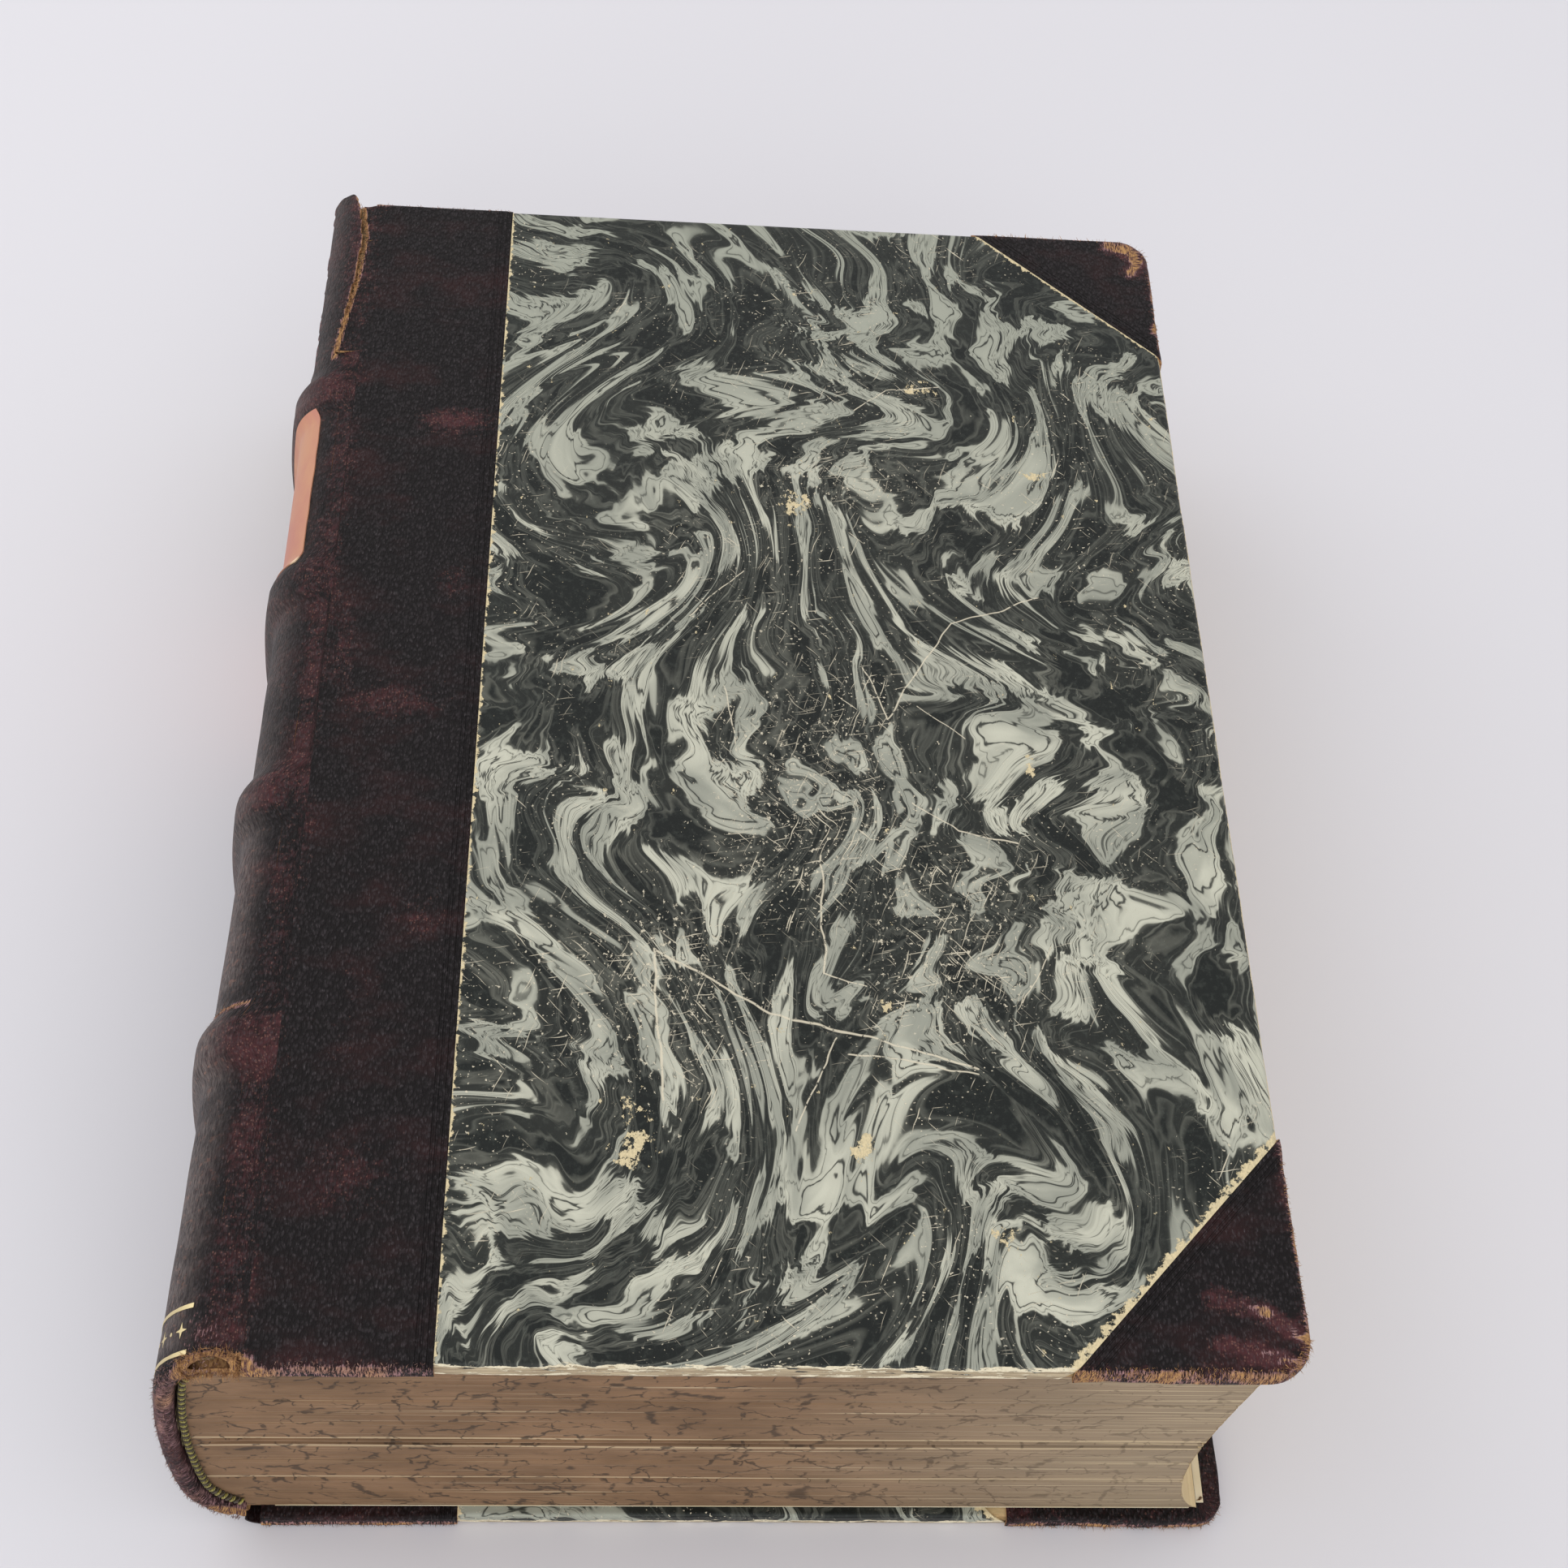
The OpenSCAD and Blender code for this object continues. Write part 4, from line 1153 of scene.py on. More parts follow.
class BOOK_OT_boards(BookOperator, bpy.types.Operator):
    """Makes the worn boards of both covers"""

    bl_idname = "book.boards"
    bl_label = "Boards"

    # How far a board lies inside its coverings: at its edges, at its outer face and at its inner face
    edge_fit, outer_fit, inner_fit = 0.25, 0.28, 0.3

    def execute(self, context):
        colours = context.scene.book_colours
        material = self.finish("board", lambda: pasteboard(colours))
        for cover in self.covers(context):
            self.board(cover, material)
        return {"FINISHED"}

    def board(self, cover, material):
        """A solid whose edges follow the coverings, a little inside them."""
        inset = PAPER_INSET + self.edge_fit
        radius = cover.corner_r - inset
        inner_r = radius - cover.arris
        cx, cy = cover.x1 - inset - radius, HALF_H - inset - radius
        flat, out = [], []

        def run(places, way):
            """A straight stretch of the outline, and the way out from it."""
            flat.extend(places)
            out.extend([way] * len(places))

        def turn(start, centre_y):
            """A rounded corner of the outline."""
            for a in lines(start, start + math.pi / 2, 0.2)[1:]:
                flat.append((cx + inner_r * math.cos(a), centre_y + inner_r * math.sin(a)))
                out.append((math.cos(a), math.sin(a)))

        end = HALF_H - inset - cover.arris
        run([(cover.x0, y) for y in lines(end, -end, 4)], (0, 0))
        run([(x, -cy - inner_r) for x in lines(cover.x0, cx, 1.0)[1:]], (0, -1))
        turn(-math.pi / 2, -cy)
        run([(cx + inner_r, y) for y in lines(-cy, cy, 1.0)[1:]], (1, 0))
        turn(0, cy)
        run([(x, cy + inner_r) for x in lines(cx, cover.x0, 1.0)[1:-1]], (0, 1))
        flat, out = np.array(flat), np.array(out)
        thick = COVER_T - self.outer_fit - self.inner_fit
        a, b = cover.arris, cover.low_arris
        rings = [(a * math.sin(k), a * (1 - math.cos(k))) for k in lines(0, math.pi / 2, 0.26)]
        rings += [(a, d) for d in lines(a, thick - b, 0.4)[1:]]
        rings += [(a - b + b * math.cos(k), thick - b + b * math.sin(k))
                  for k in lines(0, math.pi / 2, 0.4)[1:]]
        points = []
        for reach, fall in rings:
            dent = 0.12 * ripple(np.column_stack([flat, np.full(len(flat), fall)]), (3, 3, 0.8), 2)
            ring = flat + out * (reach + dent * (reach > 0.4))[:, None]
            z = cover.z + cover.inward * (self.outer_fit + fall)
            points.append(np.column_stack([ring, np.full(len(flat), z)]))
        count = len(flat)
        faces = []
        for i in range(len(rings) - 1):
            for j in range(count):
                k = (j + 1) % count
                faces.append((i * count + j, i * count + k, (i + 1) * count + k, (i + 1) * count + j))
        faces.append(tuple(range(count))[::-1])
        faces.append(tuple((len(rings) - 1) * count + j for j in range(count)))
        if cover.inward < 0:
            faces = [f[::-1] for f in faces]
        make_piece(f"{cover.side}_board_worn", np.concatenate(points), faces, [material], cover.body,
                   [f"{cover.side}_board"], smooth=False)


class BOOK_OT_leather_sides(BookOperator, bpy.types.Operator):
    """Makes the leather on the spine side of both covers, turned in at head and tail"""

    bl_idname = "book.leather_sides"
    bl_label = "Leather sides"

    def execute(self, context):
        for cover in self.covers(context):
            self.leather_side(cover, context.scene.book_colours)
        return {"FINISHED"}

    def leather_side(self, cover, colours):
        front = cover.side == "front"
        start = cover.x0 - (5.0 if front else 0.0)
        xs = merged(lines(start, cover.x0, 0.35), lines(cover.x0, cover.x0 + 2, 0.5),
                    lines(cover.x0 + 2, cover.paper_x, 1.3))
        ys = cover.edge_lines(-HALF_H, HALF_H, 1.3, True, True)
        if front:
            ys = merged(ys, lines(TAIL_Y + SPLIT_START, HALF_H - cover.arris, 0.5))

        def keep(middles):
            if not front:
                return np.ones(len(middles), bool)
            x, t = middles[:, 0] - cover.x0, middles[:, 1] - TAIL_Y
            ragged = 0.3 * ripple(middles, 1.3, 4)
            limit = np.where(t > SPLIT_START, split_x(t) + split_half(t) * (1 + ragged), 0.0)
            return (x > 0) | ((x > limit) & (t < BOARD_H - 1.0))

        def drop(flat, e):
            height = pressed(cover.paper_x - flat[:, 0])
            if front:
                height = height + shoulder_drop(flat[:, 0]) + 0.05 * ripple(flat, 14.0, 1)
            return height

        cover.sheet("leather_side", xs, ys, self.leathers(colours), SIDE_ROUGH, SIDE_LEATHER_T,
                    "dark_leather", leather_marks(cover), keep, raise_by=drop)


# Rubs on the leather corners: start, end and half width of each, measured in from the cover's corner
TAIL_STREAKS = (((14, 12.5), (6, 10), 1.6), ((7, 10.5), (0.8, 5.5), 1.5), ((14, 5), (4, 2.6), 1.1),
                ((9, 3.2), (1.5, 1.5), 1.4))
HEAD_STREAKS = (((7.5, 2.0), (4.6, 3.4), 2.2), ((4.0, 2.4), (2.2, 6.5), 2.2),
                ((4.0, 10), (1.8, 6), 1.6), ((0.8, 27), (0.3, 25), 1.1))


class BOOK_OT_corners(BookOperator, bpy.types.Operator):
    """Makes the leather corners of both covers, worn through at the points"""

    bl_idname = "book.corners"
    bl_label = "Leather corners"

    def execute(self, context):
        for cover in self.covers(context):
            for end, name in ((1, "head"), (-1, "tail")):
                self.corner(cover, end, name, context.scene.book_colours)
        return {"FINISHED"}

    def streak(self, x, y, start, stop, width, faint):
        """1 along a stroke from start to stop, which widens and fades towards its start."""
        start, stop = np.array(start, float), np.array(stop, float)
        way = stop - start
        s = np.clip(((x - start[0]) * way[0] + (y - start[1]) * way[1]) / (way @ way), 0, 1)
        far = np.hypot(x - start[0] - s * way[0], y - start[1] - s * way[1])
        return rise(far, width * (1.4 - 0.6 * s), 0.3 * width) * (faint + (1 - faint) * s * s)

    def corner(self, cover, end, name, colours):
        leg, strokes = (HEAD_LEG, HEAD_STREAKS) if end > 0 else (TAIL_LEG, TAIL_STREAKS)
        place, normal = cover.corner_cut(end)
        xs = cover.edge_lines(cover.x1 - CORNER_LEG, cover.x1, 1.2, False, True)
        ys = np.sort(cover.edge_lines(HALF_H - leg, HALF_H, 1.2, False, True) * end)

        def keep(middles):
            return cover.over_edge(middles)[0] < cover.wrap + TURN_IN

        def streaks(flat, widen, faint):
            """1 along the rubs of this corner."""
            x, y = cover.x1 - flat[:, 0], HALF_H - np.abs(flat[:, 1])
            return np.maximum.reduce([self.streak(x, y, start, stop, widen * width, faint)
                                      for start, stop, width in strokes])

        def wear(flat, e):
            last = 6.0 if cover.side == "front" else 3.2
            patchy = 0.62 + 0.4 * ripple(flat, 4.0, 2)
            edge_worn = rise(e, -0.3, 1.0) * patchy * rise(e, last + 1, last - 1)
            return np.maximum(streaks(flat, 1.0, 0.1 if end < 0 else 0.8), edge_worn)

        def rub(flat, e):
            return np.maximum(0.5 * rise(e, -2.4, 0.6), streaks(flat, 1.8, 0.75)) - 0.05

        def edge(flat, e):
            return cover.from_corner(flat, end)

        def drop(flat, e):
            return pressed(cover.from_corner(flat, end))

        cover.sheet(f"{name}_corner", xs, ys, self.leathers(colours), CORNER_ROUGH, SIDE_LEATHER_T,
                    "dark_leather", {"wear": wear, "rub": rub, "edge": edge}, keep,
                    cuts=[(place, -normal)], raise_by=drop)


class BOOK_OT_paper_sides(BookOperator, bpy.types.Operator):
    """Makes the marbled paper of both covers, worn off along the front cover's tail edge"""

    bl_idname = "book.paper_sides"
    bl_label = "Marbled paper"

    def execute(self, context):
        colours = context.scene.book_colours
        material = self.finish("marbled", lambda: marbled_paper(colours))
        for cover in self.covers(context):
            self.paper(cover, material)
        return {"FINISHED"}

    def paper(self, cover, material):
        low, high = -HALF_H + PAPER_INSET, HALF_H - PAPER_INSET
        xs = cover.edge_lines(cover.paper_x, cover.x1 - PAPER_INSET, 1.5, False, True)
        ys = cover.edge_lines(low, high, 1.5, True, True)
        cuts = [cover.corner_cut(1), cover.corner_cut(-1)]
        front = cover.side == "front"

        def keep(middles):
            return cover.over_edge(middles, PAPER_INSET)[0] < cover.wrap + TURN_IN

        def at_tail(flat):
            return (flat[:, 1] < 0) & (flat[:, 0] < cover.x1 - CORNER_LEG + 7)

        def torn(flat, e):
            """How far past the arris that is worn the paper is, at the tail."""
            return np.where(at_tail(flat) & (e > 0), e if front else 3.2 - e, -5.0)

        def wear(flat, e):
            by_leather = rise(flat[:, 0] - cover.paper_x, 1.6, 0.0)
            by_corner = np.maximum(rise(-cover.from_corner(flat, 1), 1.3, 0.0),
                                   rise(-cover.from_corner(flat, -1), 3.4, 0.0))
            end = 8.0 if front else 3.4
            by_edge = rise(e, 0.3, 1.5) * rise(e, end, end - 1.2) * ~at_tail(flat)
            return 0.75 * np.maximum.reduce([by_leather * 0.9, by_corner, by_edge * 1.25])

        cover.sheet("paper_side", xs, ys, [material], PAPER_ROUGH, PAPER_T, "marbled_paper",
                    {"wear": wear, "torn": torn}, keep, PAPER_INSET, cuts)


class BOOK_OT_endpapers(BookOperator, bpy.types.Operator):
    """Finishes the pastedowns and flyleaves"""

    bl_idname = "book.endpapers"
    bl_label = "Endpapers"

    def execute(self, context):
        paint(["front_pastedown", "back_pastedown", "front_flyleaf", "back_flyleaf"], wove_paper())
        return {"FINISHED"}


class BOOK_OT_text_block(BookOperator, bpy.types.Operator):
    """Makes the block of pages with the edges of its leaves"""

    bl_idname = "book.text_block"
    bl_label = "Pages"

    # Heights of the open gaps between leaves, and how far each opens
    gaps = ((28.4, 1.1), (29.6, 0.7), (14.6, 0.8), (22.0, 0.35), (9.0, 0.3), (44.0, 0.3))
    hollow = 4.3
    # How far the lowest leaves stand out
    low_leaves = 1.3
    # Share of the block's thickness at which the fore-edge is deepest, from the bottom
    hollow_peak = 0.58

    def execute(self, context):
        sizes = context.scene.book_sizes
        colours = context.scene.book_colours
        z0, z1 = BLOCK_LOW[2], BLOCK_HIGH[2]
        half_h = BLOCK_HIGH[1]
        rows = lines(z0, z1, sizes.leaf_t)
        jitter = np.array([noise.noise(Vector((k * 0.73, 4.2, 0))) for k in range(len(rows))])
        rows[1:-1] += 0.25 * sizes.leaf_t * jitter[1:-1]
        t = (rows - z0) / (z1 - z0)
        fore_top = BLOCK_HIGH[0]
        fore_low = fore_top - (FRONT_X - BACK_X)
        fore = fore_low + (fore_top - fore_low) * t
        fore -= self.hollow * np.sin(math.pi * t ** self.hollow_peak)
        fore += self.low_leaves * (1 - t) ** 4
        u = np.linspace(1, 3.98, 160)
        spine = {}
        for y in (-half_h, half_h):
            line = spine_point(u, y, depth=BLOCK_DEPTH)
            spine[y] = np.interp(rows, line[::-1, 2], line[::-1, 0])
        ends = lines(0, 1, 1 / 80)
        sides = lines(-half_h, half_h, 3.0)
        columns = [("tail", s) for s in ends] + [("fore", y) for y in sides]
        columns += [("head", s) for s in ends[::-1]]
        depth_of_row = self.leaf_depths(rows)
        points, flat, lit_fore_edges = [], [], []
        for face, s in columns:
            if face == "fore":
                x, y = fore, np.full(len(rows), s)
                along = FORE_EDGE_START + s
            else:
                y_end = -half_h if face == "tail" else half_h
                x = spine[y_end] + (fore - spine[y_end]) * s
                y = np.full(len(rows), y_end)
                along = s * END_LENGTH + (0 if face == "tail" else HEAD_START)
            wave = ripple(np.column_stack([np.full(len(rows), along), rows, rows * 0]), (26, 1.4, 1), 2)
            depth = depth_of_row + 0.08 * wave
            if face == "fore":
                x = x - 0.6 * depth
            else:
                y = y - math.copysign(1, y_end) * depth * rise(s, 0.0, 0.06)
            points.append(np.column_stack([x, y, rows]))
            flat.append(np.column_stack([np.full(len(rows), along), rows, np.zeros(len(rows))]))
            lit_fore_edges.append(np.full(len(rows), 1.0 if face == "fore" else 0.0))
        count = len(rows)
        faces = []
        for i in range(len(columns)):
            k = (i + 1) % len(columns)
            for j in range(count - 1):
                faces.append((i * count + j, k * count + j, k * count + j + 1, i * count + j + 1))
        faces.append(tuple(i * count + count - 1 for i in range(len(columns))))
        faces.append(tuple(i * count for i in range(len(columns)))[::-1])
        # The wear mark is 1 on the fore-edge, which the edges' material paints pale as a lit face.
        make_piece("pages", np.concatenate(points), faces, [cut_edges(colours)], "book_block",
                   ["text_block"], {"sheet": np.concatenate(flat), "wear": np.concatenate(lit_fore_edges)},
                   smooth=False)
        return {"FINISHED"}

    def leaf_depths(self, rows):
        """How far each leaf edge lies behind the block's end."""
        uneven = [noise.noise(Vector((k * 2.3, 0.4, 7))) for k in range(len(rows))]
        depth = 0.07 + 0.07 * np.array(uneven)
        sewn_fold = 2.4
        depth += 0.12 * rise(np.abs((rows / sewn_fold) % 1 - 0.5), 0.42, 0.5)
        for height, opening in self.gaps:
            depth += opening * rise(np.abs(rows - height), 0.32, 0.05)
        return depth


class BOOK_OT_headbands(BookOperator, bpy.types.Operator):
    """Sews the headbands at head and tail"""

    bl_idname = "book.headbands"
    bl_label = "Headbands"

    core_r = 0.4
    thread_r = 0.21
    # How far the core lies from the block's end, and below its rounded back
    core_gap, core_depth = 0.55, 0.6

    def execute(self, context):
        pitch = context.scene.book_sizes.stitch_pitch
        threads = [silk_thread("Floss silk, yellow green", "#b3a84e"),
                   silk_thread("Floss silk, brown", "#4a3b22")]
        half_h = BLOCK_HIGH[1]
        for name, y in (("tail_band", -half_h - self.core_gap), ("head_band", half_h + self.core_gap)):
            line = spine_point(np.linspace(1.3, 3.99, 900), y, depth=BLOCK_DEPTH + self.core_depth)
            steps = np.linalg.norm(np.diff(line, axis=0), axis=1)
            length = np.concatenate([[0], np.cumsum(steps)])
            count = int(length[-1] / pitch)
            points, faces, kinds = [], [], []
            for k in range(count):
                at = (k + 0.5) * pitch
                middle = np.array([np.interp(at, length, line[:, i]) for i in range(3)])
                ahead = np.array([np.interp(at + 0.3, length, line[:, i]) for i in range(3)]) - middle
                self.stitch(points, faces, kinds, middle, ahead / np.linalg.norm(ahead), k % 2, k)
            band = make_piece(name + "_sewn", np.array(points), faces, threads, "book_block",
                              [name])
            for polygon, kind in zip(band.data.polygons, kinds):
                polygon.material_index = kind
        return {"FINISHED"}

    def stitch(self, points, faces, kinds, middle, ahead, kind, seed):
        """A slanted turn of thread round the band's core."""
        across = np.cross(ahead, (0, 1, 0))
        up = np.array([0.0, 1.0, 0.0])
        slant = 0.55
        start = len(points)
        around, tube = 12, 6
        for i in range(around):
            a = 2 * math.pi * i / around
            way = math.cos(a) * across + math.sin(a) * up
            centre = middle + way * self.core_r + ahead * slant * self.core_r * math.sin(a)
            for j in range(tube):
                b = 2 * math.pi * j / tube
                radius = self.thread_r * (1 + 0.12 * math.sin(3 * a + seed))
                points.append(centre + radius * (math.cos(b) * way + 1.35 * math.sin(b) * ahead))
        for i in range(around):
            for j in range(tube):
                a, b = start + i * tube, start + ((i + 1) % around) * tube
                k = (j + 1) % tube
                faces.append((a + j, b + j, b + k, a + k))
                kinds.append(kind)


def torn_away(u, t, step=0.0):
    """Whether a place on the spine lies in the panel torn away at the head."""
    z = spine_point(u, t + TAIL_Y)[..., 2]
    flat = np.column_stack([t.ravel(), z.ravel()])
    rough = (0.8 * ripple(flat, 5.0, 11 + step) + 0.45 * ripple(flat, 1.4, 3 + step)).reshape(z.shape)
    tear_start = BAND_YS[-1] + BAND_W / 2 + 1.0 - TAIL_Y
    top = TOP_Z - 5.6
    low = 9.0
    inside = np.minimum.reduce([t - tear_start, top - z, z - low])
    corner = np.minimum(t - tear_start, np.minimum(top - z, z - low) * 0.8)
    return np.minimum(inside, corner) + rough > step


def headcap_point(u, t, sink):
    """A point of the spine's leather, which is turned in over the tail below the headcap's start."""
    y = TAIL_Y + np.maximum(t, HEADCAP_R)
    over = np.maximum(HEADCAP_R - t, 0)
    turn = np.clip(over / HEADCAP_R, 0, math.pi)
    inside = np.maximum(over - math.pi * HEADCAP_R, 0)
    lift = band_lift(y)
    outer = spine_point(u, y, sink=sink, lift=lift)
    deep = spine_point(u, y, depth=2 * HEADCAP_R, sink=sink, lift=lift)
    share = (1 - np.cos(turn)) / 2
    point = outer + (deep - outer) * share[..., None]
    point[..., 1] -= HEADCAP_R * np.sin(turn)
    point[..., 1] += inside
    return point


class BOOK_OT_spine(BookOperator, bpy.types.Operator):
    """Makes the leather over the spine and both joints, torn at the head and at the joint's ends"""

    bl_idname = "book.spine"
    bl_label = "Spine leather"

    # Where the strip over the front joint ends on the section, and the height of the whole leather at
    # the tail
    joint_u = 1.18
    lip_h = 1.1
    # Points this close to a grid line lie on it
    near = 1e-3

    def execute(self, context):
        self.sink = context.scene.book_sizes.spine_sink
        colours = context.scene.book_colours
        self.back_leather(colours)
        self.front_joint(colours)
        self.back_joint(colours)
        return {"FINISHED"}

    def back_leather(self, colours):
        us = merged(lines(0.0, self.joint_u, 0.03), spine_columns(0.62, self.joint_u))
        tail_start = HEADCAP_R - math.pi * HEADCAP_R - 2.5
        ts = merged(lines(tail_start, self.lip_h, 0.28), lines(self.lip_h, 4, 0.28),
                    lines(4, SPLIT_START, 0.9), lines(SPLIT_START, BOARD_H + 5.5, 0.4))
        u, t = np.meshgrid(us, ts)
        point = headcap_point(u, t, self.sink)
        flat = laid_out(u, t + TAIL_Y)
        grain = ripple(flat, 9.0, 2).reshape(u.shape)
        creases = ripple(flat, (30.0, 2.5, 1), 7).reshape(u.shape)
        push = 0.12 * grain + 0.1 * creases * (band_lift(t + TAIL_Y) > 0.1)
        outward = point - spine_point(u, t + TAIL_Y, depth=1.0, sink=self.sink,
                                      lift=band_lift(t + TAIL_Y))
        point[..., 0] += push * np.sign(outward[..., 0]) * (t > 3)
        cu = cells_of(u)
        ct = cells_of(t)
        cx = cells_of(point[..., 0]) - FRONT_X
        ragged = ragged_at(cx, ct)
        lip = (ct < self.lip_h) & (cu > 0.12)
        middle = (ct < SPLIT_START) & (cu > self.joint_u)
        strip = (ct >= SPLIT_START) & (cx < split_x(ct) - split_half(ct) * (1 + ragged))
        flap = 4.2 * rise(cx, -3.0, -5.0) + 0.9 * ragged
        hole = hole_distance(cx, ct) < 1 + 0.8 * ragged
        keep = (lip | middle | strip) & (ct < BOARD_H + flap) & ~torn_away(cu, ct) & ~hole
        wear, rub = self.wear(u, t, point)
        # The faded mark greys the spine's round: partly weathered leather, partly a painted sheen of
        # the bright surroundings on the curve.
        faded = rise(u, 1.2, 1.75) * rise(t, 1.0, 5.0) * (0.85 - 0.5 * rise(t, 60, 140))
        leather = make_piece("spine_leather_worn", point.reshape(-1, 3), grid_faces(*u.shape, keep),
                             self.leathers(colours), "book_block", ["spine_leather"],
                             {"sheet": flat, "wear": wear.ravel(), "rub": rub.ravel(),
                              "faded": faded.ravel(), "edge": np.full(u.size, NO_EDGE)})
        seam = (np.abs(t - SPLIT_START) < self.near) & (u < self.joint_u)
        seam |= np.abs(u - self.joint_u) < self.near
        self.even_edges(leather, seam.ravel())
        thicken(leather, LEATHER_T * 0.8, 1)

    def wear(self, u, t, point):
        x = point[..., 0] - FRONT_X
        cells = np.column_stack([girth_at(u).ravel(), t.ravel()])
        broad = ripple(cells, 6.0, 14).reshape(u.shape)
        cap = rise(t, 3.5, 0.0)
        crease = rise(np.abs(t + TAIL_Y - BAND_YS[0] - BAND_W / 2 + 1.6), 1.3, 0.3) * (u > self.joint_u)
        torn_edge = rise(t, 204.5, 207.0) * rise(point[..., 2], TOP_Z - 6, TOP_Z - 9) * 0.8
        strip_edge = (t > 206) * (rise(point[..., 2], TOP_Z - 4.4, TOP_Z - 5.4) * 0.5
                                  + rise(np.abs(x - split_x(t)), 1.3, 0.3) * 0.8)
        flecked = 0.4 * rise(t, 17, 5) * rise(np.abs(x + 6), 4.5, 2)
        wear = np.maximum.reduce([(0.47 + 0.28 * broad) * cap, hole_wear(x, t), flecked,
                                  0.72 * crease * rise(u, 3, 2), torn_edge, strip_edge])
        crests = rise(band_lift(t + TAIL_Y), 0.8, 1.9) * 0.3
        joint = (0.34 + 0.14 * rise(u, 0, 0.6)) * rise(u, 1.5, 1.1) + 0.3 * (t > 204) * (u < 2)
        rub = np.maximum(joint, 0.28 + crests + 0.3 * cap + 0.2 * broad)
        return wear, rub

    def even_edges(self, piece, locked, rounds=3):
        """Takes the steps of the grid out of torn edges by easing their points along them, apart from
        the locked ones."""
        bm = bmesh.new()
        bm.from_mesh(piece.data)
        bm.verts.index_update()
        for _ in range(rounds):
            moves = {}
            for v in (v for v in bm.verts if not locked[v.index]):
                rim = [e.other_vert(v) for e in v.link_edges if e.is_boundary]
                if len(rim) == 2:
                    moves[v] = (v.co + 0.5 * (rim[0].co + rim[1].co)) / 2
            for v, co in moves.items():
                v.co = co
        bm.to_mesh(piece.data)
        bm.free()

    def front_joint(self, colours):
        """The strip of leather over the front joint."""
        us = spine_columns(0.35, 0.0, self.joint_u)
        ts = merged(lines(self.lip_h, 8, 0.28), lines(8, SPLIT_START, 1.0))
        u, t = np.meshgrid(us, ts)
        point = headcap_point(u, t, self.sink)
        flat = laid_out(u, t + TAIL_Y)
        wear, rub = self.wear(u, t, point)
        ct = cells_of(t)
        cx = cells_of(point[..., 0]) - FRONT_X
        keep = hole_distance(cx, ct) > 1 + 0.8 * ragged_at(cx, ct)
        strip = make_piece("front_joint_leather", point.reshape(-1, 3), grid_faces(*u.shape, keep),
                           self.leathers(colours),
                           marks={"sheet": flat, "wear": wear.ravel(), "rub": rub.ravel(),
                                  "edge": np.full(u.size, NO_EDGE)})
        ends = (u < self.near) | (u > self.joint_u - self.near) | (t > SPLIT_START - self.near)
        self.even_edges(strip, ends.ravel())
        thicken(strip, FRONT_JOINT_T, 1)
        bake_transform(strip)

    def back_joint(self, colours):
        """The strip of leather over the back joint."""
        ts = merged(lines(0.4, 8, 0.6), lines(8, BOARD_H - 0.6, 1.2))
        share = np.linspace(0, 1, 12)
        s, t = np.meshgrid(share, ts)
        y = t + TAIL_Y
        start = spine_point(np.full_like(s, 3.97), y, sink=self.sink)
        end = np.stack([np.full_like(s, BACK_X + 0.6), y, np.zeros_like(s)], axis=-1)
        middle = np.stack([np.full_like(s, BACK_JOINT_X), y, np.full_like(s, 0.1)], axis=-1)
        w = s[..., None]
        point = (1 - w) ** 2 * start + 2 * w * (1 - w) * middle + w ** 2 * end
        flat = np.stack([-girth_at(4.0) - 4 * s + FRONT_X, y, np.zeros_like(s)], axis=-1).reshape(-1, 3)
        marks = {"sheet": flat, "wear": np.full(s.size, 0.15), "rub": np.full(s.size, 0.1),
                 "edge": np.full(s.size, NO_EDGE)}
        strip = make_piece("back_joint_leather", point.reshape(-1, 3), grid_faces(*s.shape),
                           self.leathers(colours)[:1], marks=marks)
        thicken(strip, BACK_JOINT_T)
        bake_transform(strip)


class BOOK_OT_spine_inside(BookOperator, bpy.types.Operator):
    """Makes the card liner, the bands and the cloth lining, which show where the leather is torn"""

    bl_idname = "book.spine_inside"
    bl_label = "Liner, bands and lining"

    def execute(self, context):
        sink = context.scene.book_sizes.spine_sink
        card = self.finish("card", liner_card)
        self.liner(card, sink)
        self.bands(card, sink)
        self.lining()
        paint([f"sewing_tape_{i}" for i in (1, 2, 3, 4)], linen_tape())
        return {"FINISHED"}

    def liner(self, card, sink):
        us = spine_columns(0.9, 1.05, 3.97)
        ts = merged(lines(2, 205, 3.0), lines(205, BOARD_H, 0.6))
        u, t = np.meshgrid(us, ts)
        point = spine_point(u, t + TAIL_Y, depth=LEATHER_T + 0.05, sink=sink)
        keep = ~torn_away(cells_of(u), cells_of(t), 2.5)
        liner = make_piece("spine_liner_torn", point.reshape(-1, 3), grid_faces(*u.shape, keep),
                           [card], "book_block", ["spine_liner"])
        thicken(liner, LINER_T * 0.75)

    def bands(self, card, sink):
        for i, middle in enumerate(BAND_YS):
            us = spine_columns(1.5, 1.25, 3.8)
            ys = lines(middle - 4.5, middle + 4.5, 1.0)
            u, y = np.meshgrid(us, ys)
            point = spine_point(u, y, depth=LEATHER_T + 0.15, sink=sink, lift=band_lift(y))
            band = make_piece(f"raised_band_{i + 1}_card", point.reshape(-1, 3), grid_faces(*u.shape),
                              [card], "book_block", [f"raised_band_{i + 1}"])
            thicken(band, 1.0)

